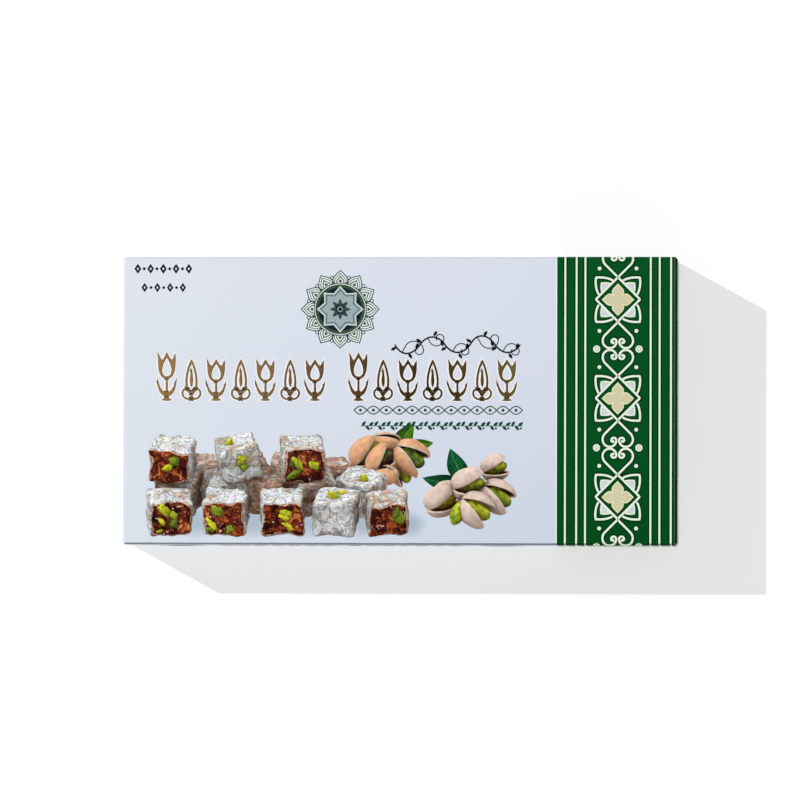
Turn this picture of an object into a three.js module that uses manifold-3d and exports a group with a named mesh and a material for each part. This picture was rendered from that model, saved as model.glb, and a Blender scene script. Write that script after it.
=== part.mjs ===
// A shut folding carton for turkish delight, lying flat with its printed front panel up.
//
// The carton is a straight tuck end box. Four panels make a sleeve round the long axis,
// closed by a glue seam low on the back long side. At each end the front panel folds down
// into a closure panel, which covers the folded dust flaps and tucks in behind the cut edge
// of the back panel. It is shut and nothing inside can be seen, so it is one solid.
//
// Millimetres. +X runs along the length, +Y across the width and +Z up through the thickness.
// The origin is in the middle of the back panel, on the surface the carton lies on.

import * as THREE from 'three';
import Module from 'manifold-3d';
import { mergeVertices } from 'three/addons/utils/BufferGeometryUtils.js';

const wasm = await Module();
wasm.setup();

// Driving dimensions
const LENGTH = 177;
const WIDTH = 92;
const THICKNESS = 30;
const BOARD = 0.5;

// Folds: the outside radius of a panel's creased edge and of a dust flap's tighter one, and
// the facets in a quarter turn of either
const FOLD_RADIUS = 0.95;
const DUST_FOLD_RADIUS = 0.5;
const FOLD_FACETS = 6;

// Closure panels: proud of the dust flaps they cover, and cut narrower than the sleeve
const CLOSURE_PROUD = 0.4;
const CLOSURE_INSET = 0.55;

// Back panel: its cut edge stops short of the closure fold, with a thumb notch in the middle
const BACK_EDGE_SETBACK = 0.95;
const NOTCH_RADIUS = 8;
const NOTCH_FACETS = 24;

// Glue seam: the cut edge of the back long side, just above the fold it is glued over
const SEAM_HEIGHT = 1.2;

const HALF_LENGTH = LENGTH / 2;
const HALF_WIDTH = WIDTH / 2;
const QUARTER_TURN = Math.PI / 2;

/** Adds a quarter-round fold to an outline, centred on (x, y) and starting at angle `start`. */
function addFold(shape, x, y, start, radius = FOLD_RADIUS) {
  shape.absarc(x, y, radius, start, start + QUARTER_TURN, false);
}

/** A rectangle from (x0, y0) to (x1, y1) with all four corners folded round. */
function foldedRectangle(x0, y0, x1, y1, radius = FOLD_RADIUS) {
  const shape = new THREE.Shape();
  addFold(shape, x1 - radius, y0 + radius, -QUARTER_TURN, radius);
  addFold(shape, x1 - radius, y1 - radius, 0, radius);
  addFold(shape, x0 + radius, y1 - radius, QUARTER_TURN, radius);
  addFold(shape, x0 + radius, y0 + radius, 2 * QUARTER_TURN, radius);
  shape.closePath();
  return shape;
}

/** Extrudes an outline by `depth`, centred, with its x, y and depth turned to the given axes. */
function extrudeTo(shape, depth, facets, axes) {
  const geometry = new THREE.ExtrudeGeometry(shape, {
    depth,
    steps: 1,
    bevelEnabled: false,
    curveSegments: facets,
  });
  geometry.translate(0, 0, -depth / 2);
  geometry.applyMatrix4(new THREE.Matrix4().makeBasis(...axes));
  return toManifold(geometry);
}

const X = new THREE.Vector3(1, 0, 0);
const Y = new THREE.Vector3(0, 1, 0);
const Z = new THREE.Vector3(0, 0, 1);
const ALONG_X = [Y, Z, X];
const ALONG_Y = [X, Z, Y.clone().negate()];
const ALONG_Z = [X, Y, Z];

/** Turns a closed three.js geometry into a solid that can be joined and cut. */
function toManifold(geometry) {
  geometry.deleteAttribute('normal');
  geometry.deleteAttribute('uv');
  const merged = mergeVertices(geometry, 1e-4);
  return new wasm.Manifold(new wasm.Mesh({
    numProp: 3,
    vertProperties: new Float32Array(merged.attributes.position.array),
    triVerts: new Uint32Array(merged.index.array),
  }));
}

/** Turns a finished solid back into a three.js geometry. */
function toGeometry(solid) {
  const { vertProperties, triVerts } = solid.getMesh();
  const geometry = new THREE.BufferGeometry();
  geometry.setAttribute('position', new THREE.BufferAttribute(vertProperties, 3));
  geometry.setIndex(new THREE.BufferAttribute(triVerts, 1));
  geometry.computeVertexNormals();
  return geometry;
}

/** Outline of the sleeve seen along its length, with the lapped edge of the glue seam. */
function sleeveSection() {
  const foldedSide = HALF_WIDTH - BOARD;
  const section = new THREE.Shape();
  addFold(section, foldedSide - FOLD_RADIUS, FOLD_RADIUS, -QUARTER_TURN);
  section.lineTo(foldedSide, SEAM_HEIGHT);
  section.lineTo(HALF_WIDTH, SEAM_HEIGHT);
  addFold(section, HALF_WIDTH - FOLD_RADIUS, THICKNESS - FOLD_RADIUS, 0);
  addFold(section, FOLD_RADIUS - HALF_WIDTH, THICKNESS - FOLD_RADIUS, QUARTER_TURN);
  addFold(section, FOLD_RADIUS - HALF_WIDTH, FOLD_RADIUS, 2 * QUARTER_TURN);
  section.closePath();
  return section;
}

/** Outline of the sleeve seen from its long side, with the cut edges of the back panel. */
function sleeveSide() {
  const flapEnd = HALF_LENGTH - CLOSURE_PROUD;
  const backEnd = HALF_LENGTH - BACK_EDGE_SETBACK;
  const side = new THREE.Shape();
  side.moveTo(-backEnd, 0);
  side.lineTo(backEnd, 0);
  side.lineTo(backEnd, BOARD);
  side.lineTo(flapEnd, BOARD);
  addFold(side, flapEnd - FOLD_RADIUS, THICKNESS - FOLD_RADIUS, 0);
  addFold(side, FOLD_RADIUS - flapEnd, THICKNESS - FOLD_RADIUS, QUARTER_TURN);
  side.lineTo(-flapEnd, BOARD);
  side.lineTo(-backEnd, BOARD);
  side.closePath();
  return side;
}

/** The four panels round the long axis and the dust flaps folded in at both ends. */
function makeSleeve() {
  const flapEnd = HALF_LENGTH - CLOSURE_PROUD;
  const section = extrudeTo(sleeveSection(), LENGTH, FOLD_FACETS, ALONG_X);
  const side = extrudeTo(sleeveSide(), WIDTH + 1, FOLD_FACETS, ALONG_Y);
  const plan = foldedRectangle(-flapEnd, -HALF_WIDTH, flapEnd, HALF_WIDTH, DUST_FOLD_RADIUS);
  const height = 2 * THICKNESS + 1;
  return section.intersect(side).intersect(extrudeTo(plan, height, FOLD_FACETS, ALONG_Z));
}

/** A thumb notch through the back panel at the end towards `end` (-1 or +1). */
function makeThumbNotch(end) {
  const notch = new THREE.Shape();
  notch.absarc(end * (HALF_LENGTH - BACK_EDGE_SETBACK), 0, NOTCH_RADIUS, 0, 2 * Math.PI, false);
  return extrudeTo(notch, 2 * BOARD, NOTCH_FACETS, ALONG_Z);
}

/** The front panel folding down at both ends into the closure panels and their tucks. */
function makeFrontAndClosures() {
  const side = foldedRectangle(-HALF_LENGTH, BOARD, HALF_LENGTH, THICKNESS);
  return extrudeTo(side, WIDTH - 2 * CLOSURE_INSET, FOLD_FACETS, ALONG_Y);
}

/** The whole shut carton as one solid. */
function makeCarton() {
  const sleeve = makeSleeve().subtract(makeThumbNotch(-1)).subtract(makeThumbNotch(1));
  return toGeometry(sleeve.add(makeFrontAndClosures()));
}

const coatedBoard = new THREE.MeshStandardMaterial({
  color: 0xdae1eb,
  roughness: 0.42,
  metalness: 0,
});

const carton = new THREE.Mesh(makeCarton(), coatedBoard);
carton.name = 'carton';

const turkishDelightCarton = new THREE.Group();
turkishDelightCarton.name = 'turkish_delight_carton';
turkishDelightCarton.add(carton);

export default turkishDelightCarton;
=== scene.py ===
"""Looks of a shut folding carton of turkish delight, lying flat with its print up.

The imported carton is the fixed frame. This script gives its board a printed finish and lays
the rest of the print on it as thin islands of ink and foil. Lengths are in metres, and the
sizes of the print are given in millimetres times MM.
"""
import logging
import math
import random
from dataclasses import dataclass
from enum import Enum
from typing import Callable, Iterable, Sequence

import bmesh
import bpy
from mathutils import Euler, Matrix, Vector, noise
from mathutils.bvhtree import BVHTree
from mathutils.geometry import interpolate_bezier


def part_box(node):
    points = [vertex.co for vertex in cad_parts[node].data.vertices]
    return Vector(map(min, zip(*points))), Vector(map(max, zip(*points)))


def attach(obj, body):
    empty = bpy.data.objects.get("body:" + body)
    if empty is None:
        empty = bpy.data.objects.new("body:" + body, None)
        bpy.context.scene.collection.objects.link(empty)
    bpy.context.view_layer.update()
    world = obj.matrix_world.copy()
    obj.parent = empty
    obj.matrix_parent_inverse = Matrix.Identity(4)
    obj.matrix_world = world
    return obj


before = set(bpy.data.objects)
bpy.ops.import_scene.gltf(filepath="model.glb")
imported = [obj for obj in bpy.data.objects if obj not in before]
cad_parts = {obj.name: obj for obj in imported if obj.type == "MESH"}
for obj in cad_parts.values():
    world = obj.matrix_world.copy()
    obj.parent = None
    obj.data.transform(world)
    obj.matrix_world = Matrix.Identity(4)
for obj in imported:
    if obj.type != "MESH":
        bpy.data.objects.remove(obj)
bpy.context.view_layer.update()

log = logging.getLogger("carton")

Point = tuple[float, float]
Path = list[Point]
Colour = tuple[float, float, float, float]
Material = bpy.types.Material
Tree = bpy.types.NodeTree
Socket = bpy.types.NodeSocket
BMVert = bmesh.types.BMVert
BMFace = bmesh.types.BMFace

MM = 0.001
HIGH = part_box("carton")[1]
HALF_LENGTH = HIGH.x
HALF_WIDTH = HIGH.y
THICKNESS = HIGH.z
FOLD_RADIUS = 0.95 * MM
FOLD_ARC = FOLD_RADIUS * math.pi / 2
FOLD_STEPS = 6
BOARD = 0.5 * MM
INK = 0.02 * MM

# How printed board takes light, and the relief of its clay coating over flocs and fibres
PRINT_GLOSS = 0.1
PRINT_ROUGHNESS = 0.3
PRINT_IOR = 1.5
FLOC = 1.2 * MM
FIBRE = 0.25 * MM
RELIEF_HEIGHT = 0.03 * MM
RELIEF_STRENGTH = 0.06

# Where nearly all the values of a noise texture lie
NOISE_SPAN = {"From Min": 0.3, "From Max": 0.7}

# The green band and the cream lines that run round the carton in it
BAND_EDGE = 50.15 * MM
BAND_MIDDLE = 69.53 * MM
LINE_WIDTH = 0.6 * MM
LINE_PLACES = tuple(x * MM for x in (52.75, 56.35, 59.16, 79.96, 82.82, 86.43))
END_LINES = tuple(THICKNESS / 2 + z * MM for z in (-13.2, -10.4, 10.4, 13.2))


def linear(code: str) -> Colour:
    """Turns an sRGB hex colour to linear.

    Args:
        code: Six hex digits.

    Returns:
        Linear red, green and blue, with an alpha of 1.
    """
    parts = [int(code[i:i + 2], 16) / 255 for i in (0, 2, 4)]
    bent = [c / 12.92 if c <= 0.04045 else ((c + 0.055) / 1.055) ** 2.4 for c in parts]
    return (*bent, 1.0)


def shade(colour: Colour, factor: float) -> Colour:
    """A colour made darker or lighter by a factor."""
    return (*(min(1.0, c * factor) for c in colour[:3]), 1.0)


def add_node(tree: Tree, kind: str, links: dict[str | int, object] | None = None,
             **settings: object) -> bpy.types.Node:
    """Adds one node with its settings, socket values and links.

    Args:
        tree: The node tree to add to.
        kind: The node's type name, less "ShaderNode".
        links: Socket name or number to a value, or to the output socket that feeds it.
        **settings: Properties of the node itself.

    Returns:
        The new node.
    """
    made = tree.nodes.new("ShaderNode" + kind)
    for name, value in settings.items():
        setattr(made, name, value)
    for socket, value in (links or {}).items():
        if isinstance(value, Socket):
            tree.links.new(value, made.inputs[socket])
        else:
            made.inputs[socket].default_value = value
    return made


def set_stops(ramp: bpy.types.ColorRamp, stops: Sequence[tuple[float, Colour]]) -> None:
    """Gives a colour ramp its stops, in rising order.

    Args:
        ramp: The ramp to fill.
        stops: Place from 0 to 1, and colour.
    """
    while len(ramp.elements) > 1:
        ramp.elements.remove(ramp.elements[-1])
    ramp.elements[0].position, ramp.elements[0].color = stops[0]
    for place, colour in stops[1:]:
        ramp.elements.new(place).color = colour


# ---------------------------------------------------------------- finishes


def start_material(name: str) -> tuple[Material, Tree, Socket]:
    """Makes an empty node material.

    Args:
        name: The material's name.

    Returns:
        The material, its tree, and the socket of its Object coordinates.
    """
    material = bpy.data.materials.new(name)
    material.use_nodes = True
    tree = material.node_tree
    tree.nodes.clear()
    place = add_node(tree, "TexCoord").outputs["Object"]
    return material, tree, place


def board_relief(tree: Tree, place: Socket) -> Socket:
    """The faint orange-peel relief of coated boxboard, as a normal.

    Args:
        tree: The material's tree.
        place: The Object coordinates.

    Returns:
        The bump node's normal.
    """
    flocs = add_node(tree, "TexNoise", {"Vector": place, "Scale": 1 / FLOC, "Detail": 2.0})
    fibres = add_node(tree, "TexNoise", {"Vector": place, "Scale": 1 / FIBRE, "Detail": 1.0})
    height = add_node(tree, "Math", {0: flocs.outputs["Fac"], 1: fibres.outputs["Fac"]},
                      operation="ADD")
    bump = add_node(tree, "Bump", {"Strength": RELIEF_STRENGTH, "Distance": RELIEF_HEIGHT,
                                   "Height": height.outputs[0]})
    return bump.outputs["Normal"]


def finish_print(tree: Tree, place: Socket, colour: Socket) -> None:
    """Ends a material with the satin surface of printed, coated board.

    Args:
        tree: The material's tree.
        place: The Object coordinates.
        colour: The printed colour.
    """
    surface = add_node(tree, "BsdfPrincipled",
                       {"Base Color": colour, "Roughness": PRINT_ROUGHNESS, "IOR": PRINT_IOR,
                        "Specular IOR Level": PRINT_GLOSS, "Normal": board_relief(tree, place)})
    add_node(tree, "OutputMaterial", {"Surface": surface.outputs[0]})


@dataclass(frozen=True)
class PrintedInk:
    """Offset ink on coated board: a thin even film that dries with a slight mottle."""

    name: str
    code: str
    mottle: float = 0.07
    patch: float = 1.0 * MM

    def material(self) -> Material:
        """Builds the ink's material.

        Returns:
            The material.
        """
        material, tree, place = start_material(self.name)
        colour = linear(self.code)
        # Ink takes unevenly on the flocs of the board, in patches
        patches = add_node(tree, "TexNoise",
                           {"Vector": place, "Scale": 1 / self.patch, "Detail": 3.0, "Roughness": 0.6})
        tone = add_node(tree, "Mix",
                        {"Factor": patches.outputs["Fac"], 6: shade(colour, 1 - self.mottle),
                         7: shade(colour, 1 + self.mottle)}, data_type="RGBA")
        finish_print(tree, place, tone.outputs[2])
        return material


@dataclass(frozen=True)
class StampedFoil:
    """Hot-stamped gold foil: metal film that mirrors softly, with painted reflection in bands of tone that
    change along the carton.
    """

    name: str
    codes: tuple[str, ...]
    roughness: float = 0.5
    ripple: float = 3 * MM
    shimmer: float = 0.16
    first_stop: float = 0.08

    def material(self) -> Material:
        """Builds the foil's material.

        Returns:
            The material.
        """
        material, tree, place = start_material(self.name)
        # Painted reflection, as from a slightly wavy film: the tone drifts along the carton and shimmers in
        # ripples
        split = add_node(tree, "SeparateXYZ", {"Vector": place})
        ripple = add_node(tree, "TexNoise",
                          {"Vector": place, "Scale": 1 / self.ripple, "Detail": 2.0})
        along = add_node(tree, "MapRange",
                         {"Value": split.outputs["X"], "From Min": -HALF_LENGTH, "From Max": BAND_EDGE})
        shift = add_node(tree, "Math", {0: ripple.outputs["Fac"], 1: self.shimmer,
                                        2: along.outputs[0]}, operation="MULTIPLY_ADD")
        ramp = add_node(tree, "ValToRGB", {"Fac": shift.outputs[0]})
        pitch = (1 - self.first_stop) / (len(self.codes) - 1)
        set_stops(ramp.color_ramp, [(self.first_stop + pitch * index, linear(code))
                                    for index, code in enumerate(self.codes)])
        surface = add_node(tree, "BsdfPrincipled",
                           {"Base Color": ramp.outputs["Color"], "Metallic": 1.0,
                            "Roughness": self.roughness, "Normal": board_relief(tree, place)})
        add_node(tree, "OutputMaterial", {"Surface": surface.outputs[0]})
        return material


@dataclass(frozen=True)
class PrintedBoard:
    """Coated boxboard with its solid print: a pale field, and a dark green band with cream lines."""

    name: str = "coated_boxboard"
    # The pale field's colours at its upper left and right and its lower left and right, and the green's at
    # top and bottom; the change between them is painted light
    field_top: tuple[str, str] = ("e2e7f1", "dadfec")
    field_low: tuple[str, str] = ("dce4ee", "cdd6e5")
    green: tuple[str, str] = ("055121", "024b1a")
    trap: str = "022c0c"
    cream: str = "e4f4dc"
    bare_white: str = "f6faf6"
    bare_gap: float = 0.16 * MM
    fall: float = 1.5
    fringe: float = 0.4 * MM
    core: str = "c4bfb3"
    closure_side: float = HALF_WIDTH - 0.55 * MM
    flap_end: float = HALF_LENGTH - 0.38 * MM
    back_end: float = HALF_LENGTH - 0.95 * MM
    notch_radius: float = 8.0 * MM
    seam_height: float = 1.2 * MM
    cut_reach: float = 0.03 * MM
    back_edge: float = 1.04 * BOARD
    lap_edge: float = HALF_WIDTH - 0.96 * BOARD
    end_face: float = HALF_LENGTH - 0.15 * MM
    # Each fold's way inwards, the tint of its mark, and where the mark starts to fade and ends; the near
    # and right marks are painted shade, where those folds turn away from the light, the far and left ones
    # only a faint grey
    creases: tuple[tuple[tuple[int, int, int], str, Point], ...] = (
        ((0, 1, -1), "9a9ea2", (0.61 * MM, 0.72 * MM)), ((-1, 0, -1), "0c100e", (0.69 * MM, 0.77 * MM)),
        ((1, 0, -1), "f2f3f4", (0.61 * MM, 0.72 * MM)), ((0, -1, -1), "eff0f0", (0.61 * MM, 0.72 * MM)))
    mark_patch: float = 4 * MM
    mark_swing: Point = (-0.02 * MM, 0.03 * MM)
    # Painted sheen inside the right fold: its tint, how far in it lies, its half width and its strength
    fold_sheen: str = "5c8a6c"
    sheen_place: float = 0.87 * MM
    sheen_reach: float = 0.1 * MM
    sheen_share: float = 0.5
    cast: str = "7f98a8"
    cast_depth: float = 0.52
    cast_core: float = 0.2
    cast_rise: float = 5.0
    # Each printed shadow's middle and half its width and height, in millimetres
    cast_spots: tuple[tuple[float, float, float, float], ...] = (
        (-65.2, -38.4, 7.0, 7.2), (-47.0, -38.6, 7.2, 7.2), (-29.0, -38.4, 7.0, 7.0),
        (-11.8, -39.0, 6.6, 6.4), (3.4, -39.4, 6.4, 5.4), (-56.0, -33.0, 8.0, 5.0),
        (-36.0, -33.0, 7.0, 5.0), (-22.0, -32.0, 9.0, 5.0))

    def near_any(self, tree: Tree, value: Socket, places: Iterable[float], reach: float) -> Socket:
        """Finds where a value lies close to one of some places.

        Args:
            tree: The material's tree.
            value: The value.
            places: The places.
            reach: How close it has to lie.

        Returns:
            A socket that is 1 there and 0 elsewhere.
        """
        found = None
        for middle in places:
            near = add_node(tree, "Math", {0: value, 1: middle, 2: reach},
                            operation="COMPARE").outputs[0]
            found = near if found is None else add_node(
                tree, "Math", {0: found, 1: near}, operation="MAXIMUM").outputs[0]
        return found

    def cast_shadows(self, tree: Tree, place: Socket, colour: Socket) -> Socket:
        """Prints the soft shadows that lie beside the pictured sweets.

        Args:
            tree: The material's tree.
            place: The Object coordinates.
            colour: The colour they lie on.

        Returns:
            The colour with the shadows.
        """
        clear = None
        for x, y, wide, high in self.cast_spots:
            centre = (x * MM, y * MM, THICKNESS)
            away = add_node(tree, "VectorMath", {0: place, 1: centre}, operation="SUBTRACT")
            spread = tuple(1 / (size * MM) for size in (wide, high, self.cast_rise))
            scaled = add_node(tree, "VectorMath", {0: away.outputs[0], 1: spread},
                              operation="MULTIPLY")
            reach = add_node(tree, "VectorMath", {0: scaled.outputs[0]}, operation="LENGTH")
            left = add_node(tree, "MapRange",
                            {"Value": reach.outputs["Value"], "From Min": self.cast_core, "From Max": 1.0,
                             "To Min": 1 - self.cast_depth, "To Max": 1.0}, interpolation_type="SMOOTHSTEP")
            clear = left.outputs[0] if clear is None else add_node(
                tree, "Math", {0: clear, 1: left.outputs[0]}, operation="MULTIPLY").outputs[0]
        return add_node(tree, "Mix", {"Factor": clear, 6: linear(self.cast), 7: colour},
                        data_type="RGBA").outputs[2]

    def fold_shade_marks(self, tree: Tree, place: Socket, colour: Socket) -> Socket:
        """Darkens the print along the four folds of the front panel, with painted shade on the near and
        right folds.

        Args:
            tree: The material's tree.
            place: The Object coordinates.
            colour: The printed colour.

        Returns:
            The colour with its fold marks.
        """
        # The mark widens and narrows along a fold
        patches = add_node(tree, "TexNoise",
                           {"Vector": place, "Scale": 1 / self.mark_patch, "Detail": 3.0})
        low, high = self.mark_swing
        width = add_node(tree, "MapRange",
                         {"Value": patches.outputs["Fac"], "To Min": low, "To Max": high, **NOISE_SPAN})
        for way, tint, (start, end) in self.creases:
            # Over both panels of a fold, how far a point lies from the corner they would meet in
            corner = abs(way[0]) * HALF_LENGTH + abs(way[1]) * HALF_WIDTH + THICKNESS
            away = add_node(tree, "VectorMath", {0: place, 1: way}, operation="DOT_PRODUCT")
            for further in (corner, width.outputs[0]):
                away = add_node(tree, "Math",
                                {0: away.outputs["Value"], 1: further}, operation="ADD")
            if way[0] < 0:
                # On the right fold a paler strip just inside the mark is painted sheen, where the fold
                # starts to turn
                strip = add_node(tree, "Math", {0: away.outputs[0], 1: self.sheen_place,
                                                2: self.sheen_reach}, operation="COMPARE")
                share = add_node(tree, "Math", {0: strip.outputs[0], 1: self.sheen_share},
                                 operation="MULTIPLY")
                colour = add_node(tree, "Mix",
                                  {"Factor": share.outputs[0], 6: colour, 7: linear(self.fold_sheen)},
                                  data_type="RGBA").outputs[2]
            # Each fold's tint is multiplied in, as painted shade on the near and right folds
            creased = add_node(tree, "MapRange",
                               {"Value": away.outputs[0], "From Min": start, "From Max": end,
                                "To Min": 1.0, "To Max": 0.0}, interpolation_type="SMOOTHSTEP")
            colour = add_node(tree, "Mix",
                              {"Factor": creased.outputs[0], 6: colour, 7: linear(tint)},
                              data_type="RGBA", blend_type="MULTIPLY").outputs[2]
        return colour

    def bare_edges(self, tree: Tree, place: Socket, colour: Socket) -> Socket:
        """Bares the grey core of the board at its cut edges.

        Args:
            tree: The material's tree.
            place: The Object coordinates.
            colour: The printed colour.

        Returns:
            The colour with the bare edges.
        """
        split = add_node(tree, "SeparateXYZ", {"Vector": place})
        y, z = (split.outputs[axis] for axis in "YZ")
        size = add_node(tree, "VectorMath", {0: place}, operation="ABSOLUTE").outputs[0]
        plan = add_node(tree, "VectorMath", {0: size, 1: (1, 1, 0)}, operation="MULTIPLY")
        notch = add_node(tree, "VectorMath", {0: plan.outputs[0], 1: (self.back_end, 0, 0)},
                         operation="DISTANCE").outputs["Value"]
        sizes = add_node(tree, "SeparateXYZ", {"Vector": size})
        along, across = (sizes.outputs[axis] for axis in "XY")
        # Sides of the closures, ends of the back panel, its thumb notches, and the lap of the glue seam
        cuts = (
            ((across, "COMPARE", self.closure_side), (along, "GREATER_THAN", self.flap_end)),
            ((along, "COMPARE", self.back_end), (z, "LESS_THAN", self.back_edge)),
            ((notch, "COMPARE", self.notch_radius), (z, "LESS_THAN", self.back_edge)),
            ((z, "COMPARE", self.seam_height), (y, "GREATER_THAN", self.lap_edge)),
        )
        for tests in cuts:
            first, second = (add_node(tree, "Math", {0: value, 1: edge, 2: self.cut_reach},
                                      operation=kind).outputs[0] for value, kind, edge in tests)
            both = add_node(tree, "Math", {0: first, 1: second}, operation="MULTIPLY")
            colour = add_node(tree, "Mix",
                              {"Factor": both.outputs[0], 6: colour, 7: linear(self.core)},
                              data_type="RGBA").outputs[2]
        return colour

    def material(self) -> Material:
        """Builds the board's material.

        Returns:
            The material.
        """
        material, tree, place = start_material(self.name)
        split = add_node(tree, "SeparateXYZ", {"Vector": place})
        x, y, z = (split.outputs[axis] for axis in "XYZ")
        across = add_node(tree, "MapRange",
                          {"Value": x, "From Min": -HALF_LENGTH, "From Max": BAND_EDGE}).outputs[0]
        run_down = add_node(tree, "MapRange",
                            {"Value": y, "From Min": HALF_WIDTH, "From Max": -HALF_WIDTH})
        down = add_node(tree, "Math", {0: run_down.outputs[0], 1: self.fall},
                        operation="POWER").outputs[0]
        # The pale field is painted light: lighter at the upper left, darker towards the lower right, as if
        # lit from the upper left
        upper, lower = (add_node(tree, "Mix", {"Factor": across, 6: linear(a), 7: linear(b)},
                                 data_type="RGBA").outputs[2] for a, b in (self.field_top, self.field_low))
        painted_light_field = add_node(tree, "Mix", {"Factor": down, 6: upper, 7: lower}, data_type="RGBA")
        pale = self.cast_shadows(tree, place, painted_light_field.outputs[2])
        # The two solids don't quite meet, so a hairline of white board shows between them
        gap = self.near_any(tree, x, (BAND_EDGE - self.bare_gap,), self.bare_gap)
        pale = add_node(tree, "Mix", {"Factor": gap, 6: pale, 7: linear(self.bare_white)},
                        data_type="RGBA").outputs[2]
        # The green is painted darker towards the bottom in the same way, as painted shade
        solid = add_node(tree, "Mix",
                         {"Factor": down, 6: linear(self.green[0]), 7: linear(self.green[1])},
                         data_type="RGBA").outputs[2]
        # Lines run round the girth, and along the end panel between its own pair of lines
        on_end = add_node(tree, "Math", {0: x, 1: self.end_face}, operation="GREATER_THAN")
        for value, places in ((x, LINE_PLACES), (z, END_LINES)):
            for reach, code in ((LINE_WIDTH / 2 + self.fringe, self.trap), (LINE_WIDTH / 2, self.cream)):
                here = self.near_any(tree, value, places, reach)
                if value == z:
                    here = add_node(tree, "Math", {0: here, 1: on_end.outputs[0]},
                                    operation="MULTIPLY").outputs[0]
                solid = add_node(tree, "Mix", {"Factor": here, 6: solid, 7: linear(code)},
                                 data_type="RGBA").outputs[2]
        in_band = add_node(tree, "Math", {0: x, 1: BAND_EDGE}, operation="GREATER_THAN")
        printed = add_node(tree, "Mix",
                           {"Factor": in_band.outputs[0], 6: pale, 7: solid}, data_type="RGBA").outputs[2]
        finish_print(tree, place, self.bare_edges(tree, place, self.fold_shade_marks(tree, place, printed)))
        return material


class Ink(Enum):
    """The inks and foils of the print."""

    CREAM = PrintedInk("cream_ink", "e2f0de")
    TRAP = PrintedInk("dark_green_trap_ink", "022c0c")
    SAND = PrintedInk("sand_ink", "d4cdaa")
    CLAY = PrintedInk("clay_ink", "b9a08c")
    PEARL = PrintedInk("pearl_grey_ink", "d2d3d6")
    SLATE = PrintedInk("slate_ink", "33434a")
    MOSS = PrintedInk("moss_green_ink", "3c5140")
    DEEP = PrintedInk("deep_teal_ink", "13262b")
    SAGE = PrintedInk("sage_ink", "9fb0b4")
    MIST = PrintedInk("pale_mist_ink", "e9f1ec")
    BLACK = PrintedInk("black_ink", "15191c")
    PINE = PrintedInk("pine_green_ink", "144a36")
    GLOW = PrintedInk("warm_white_ink", "fbf5f0")
    BUTTER = PrintedInk("butter_ink", "eff0c4")
    # A painted shadow along the lower right of the foil strokes
    PAINTED_SHADOW = PrintedInk("umber_shadow_ink", "54391f")
    # Gold, with painted reflection in how its tone darkens and lightens from left to right
    GOLD = StampedFoil("gold_foil", ("bd9860", "bb9660", "ae8a5c", "a7875f", "846348", "685236",
                                     "4f4128", "69572f", "8a7a44"))


class InkBook:
    """Makes each ink's material once, when it is first used."""

    def __init__(self) -> None:
        """Starts with no material made."""
        self.made: dict[Enum, Material] = {}

    def material(self, ink: Enum) -> Material:
        """Looks up an ink's material.

        Args:
            ink: The ink.

        Returns:
            Its material.
        """
        if ink not in self.made:
            self.made[ink] = ink.value.material()
        return self.made[ink]


# ---------------------------------------------------------------- outlines


def curve(start: Point, out: Point, back: Point, end: Point, steps: int = 10) -> Path:
    """Points on a Bezier curve.

    Args:
        start: First point.
        out: Handle of the first point.
        back: Handle of the last point.
        end: Last point.
        steps: Number of points.

    Returns:
        The points, with both ends.
    """
    return [tuple(p[:2]) for p in interpolate_bezier(start, out, back, end, steps)]


def walk(start: Point, heading: float, legs: Sequence[Point], step: float = 0.25 * MM) -> Path:
    """Walks a line of straight stretches and arcs.

    Args:
        start: Where the walk starts.
        heading: Direction at the start, in degrees from +X.
        legs: Each (length, 0) for a straight stretch or (radius, turn in degrees) for an arc.
        step: Greatest distance between points.

    Returns:
        The points of the walk.
    """
    path = [start]
    angle = math.radians(heading)
    for size, turn in legs:
        total = math.radians(turn)
        length = abs(total) * size if turn else size
        count = max(1, math.ceil(length / step))
        for _ in range(count):
            angle += total / count / 2
            reach = 2 * size * math.sin(abs(total) / count / 2) if turn else size / count
            x, y = path[-1]
            path.append((x + reach * math.cos(angle), y + reach * math.sin(angle)))
            angle += total / count / 2
    return path


def ring(centre: Point, radius: float, count: int = 24) -> Path:
    """Points on a circle."""
    return [(centre[0] + radius * math.cos(i * math.tau / count),
             centre[1] + radius * math.sin(i * math.tau / count)) for i in range(count)]


def moved(path: Path, move: Point = (0.0, 0.0), turn: float = 0.0, size: float = 1.0,
          flip_x: bool = False, flip_y: bool = False) -> Path:
    """Mirrors, scales, turns and moves an outline.

    Args:
        path: The outline.
        move: How far it moves, after the rest.
        turn: Turn in degrees.
        size: Scale.
        flip_x: Mirror left and right first.
        flip_y: Mirror up and down first.

    Returns:
        The placed outline.
    """
    c, s = math.cos(math.radians(turn)) * size, math.sin(math.radians(turn)) * size
    flipped = [(-x if flip_x else x, -y if flip_y else y) for x, y in path]
    return [(x * c - y * s + move[0], x * s + y * c + move[1]) for x, y in flipped]


def mirrored(half: Path) -> Path:
    """Joins an outline's right half, from foot to tip, to its mirror image."""
    return half + [(-x, y) for x, y in half[-2:0:-1]]


def offset_points(path: Path, distance: float, closed: bool) -> Path:
    """Points to the left of a path, mitred at its corners.

    Args:
        path: The path.
        distance: How far to the left.
        closed: Whether its last point joins its first.

    Returns:
        One point for each point of the path.
    """
    points = [Vector(p) for p in path]
    count = len(points)
    shifted = []
    for i, point in enumerate(points):
        before = points[i - 1] if closed or i else None
        after = points[(i + 1) % count] if closed or i < count - 1 else None
        ways = [(b - a).normalized() for a, b in ((before, point), (point, after)) if a and b]
        sides = [Vector((-way.y, way.x)) for way in ways]
        middle = sum(sides, Vector((0, 0))).normalized()
        spread = max(0.45, middle.dot(sides[0]))
        shifted.append(tuple(point + middle * distance / spread))
    return shifted


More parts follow.
